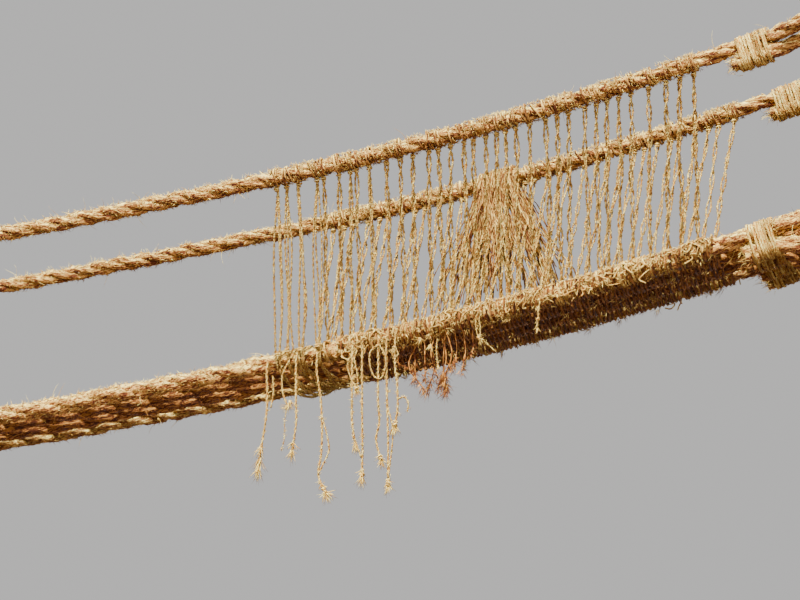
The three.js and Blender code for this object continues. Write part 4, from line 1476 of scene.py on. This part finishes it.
def log_radius(seeds, reach, height, angle):
    """Radius of a cross log, grooved where the floor ropes go round it."""
    radius = weathered(LOG_RADIUS, height, angle, seeds)
    for rope in range(FLOOR_COUNT):
        off_centre = LOG_START + height - floor_y(rope)
        radius = rope_groove(radius, reach, FLOOR_RADIUS, off_centre, np.abs(angle) < 1.75)
    return radius


def make_posts(materials):
    heights = np.concatenate([
        np.linspace(0, 1.5, 34), np.linspace(1.53, 1.78, 24), np.linspace(1.80, RAIL_HEIGHT + POST_HEAD, 6),
    ])
    for bank in BANKS:
        for number, side in enumerate(SIDES):
            shapes = Shapes(SEEDS[f"post_{bank}"] + number)
            seeds = shapes.rng.uniform(0, 2 * np.pi, 12)
            turned = TOWARDS_BANK[bank][0] * (1 if side == "near" else -1)
            base = (bank_x(bank, 0.0), RAIL_Y[side], 0)
            timber(shapes, base, UP, TOWARDS_BANK[bank], heights, partial(post_radius, seeds, turned))
            name = f"post_{bank}_{side}"
            shapes.piece(f"peeled_{name}", [materials["wood"]], [name], "weathered_wood")


def make_logs(materials):
    x, z, _, reach = log_centre()
    lengths = np.linspace(0, LOG_LENGTH, 110)
    for bank in BANKS:
        shapes = Shapes(SEEDS[f"log_{bank}"])
        seeds = shapes.rng.uniform(0, 2 * np.pi, 12)
        base = (bank_x(bank, -x), LOG_START, z)
        timber(shapes, base, ACROSS, TOWARDS_BANK[bank], lengths, partial(log_radius, seeds, reach))
        shapes.piece(f"peeled_log_{bank}", [materials["wood"]], [f"cross_log_{bank}"], "weathered_wood")


# Light and floor


def make_world():
    """A soft sky, warm and dark below the horizon."""
    world = bpy.data.worlds.new("studio")
    world.use_nodes = True
    tree = world.node_tree
    background = tree.nodes["Background"]
    background.inputs["Strength"].default_value = SKY_STRENGTH
    kinds = ("TexCoord", "SeparateXYZ", "MapRange", "ValToRGB")
    place, split, spread, ramp = (tree.nodes.new(f"ShaderNode{kind}") for kind in kinds)
    tree.links.new(place.outputs["Generated"], split.inputs[0])
    tree.links.new(split.outputs["Z"], spread.inputs["Value"])
    spread.inputs["From Min"].default_value, spread.inputs["From Max"].default_value = SKY_TURNS
    tree.links.new(spread.outputs["Result"], ramp.inputs["Fac"])
    ramp.color_ramp.elements[0].color = SKY_BELOW
    ramp.color_ramp.elements[1].color = SKY_ABOVE
    tree.links.new(ramp.outputs["Color"], background.inputs["Color"])
    bpy.context.scene.world = world


def make_lamps():
    for name, (energy, angle, turned, colour) in LAMPS.items():
        data = bpy.data.lights.new(name, "SUN")
        data.energy = energy
        data.angle = math.radians(angle)
        data.color = colour
        lamp = bpy.data.objects.new(name, data)
        lamp.rotation_euler = [math.radians(part) for part in turned]
        bpy.context.scene.collection.objects.link(lamp)


def make_studio_floor():
    """A pale floor far below, which throws no light back."""
    nodes = Nodes("pale_floor")
    place = nodes.add("ShaderNodeTexCoord").outputs["Object"]
    nodes.skin(nodes.ramp(nodes.noise(place, 0.4, 2.0), STUDIO_TINTS), 0.9, 0.5)
    mesh = bpy.data.meshes.new("floor")
    turns = ((-1, -1), (1, -1), (1, 1), (-1, 1))
    square = [(x * STUDIO_HALF, y * STUDIO_HALF, STUDIO_FLOOR) for x, y in turns]
    mesh.from_pydata(square, [], [(0, 1, 2, 3)])
    mesh.materials.append(nodes.material)
    floor = bpy.data.objects.new("floor", mesh)
    floor.visible_diffuse = False
    bpy.context.scene.collection.objects.link(floor)


make_camera()
materials = make_materials()
make_tails(materials)
make_ropes(materials)
make_nets(materials)
make_lashings(materials)
make_mats(materials)
make_posts(materials)
make_logs(materials)
make_world()
make_lamps()
make_studio_floor()
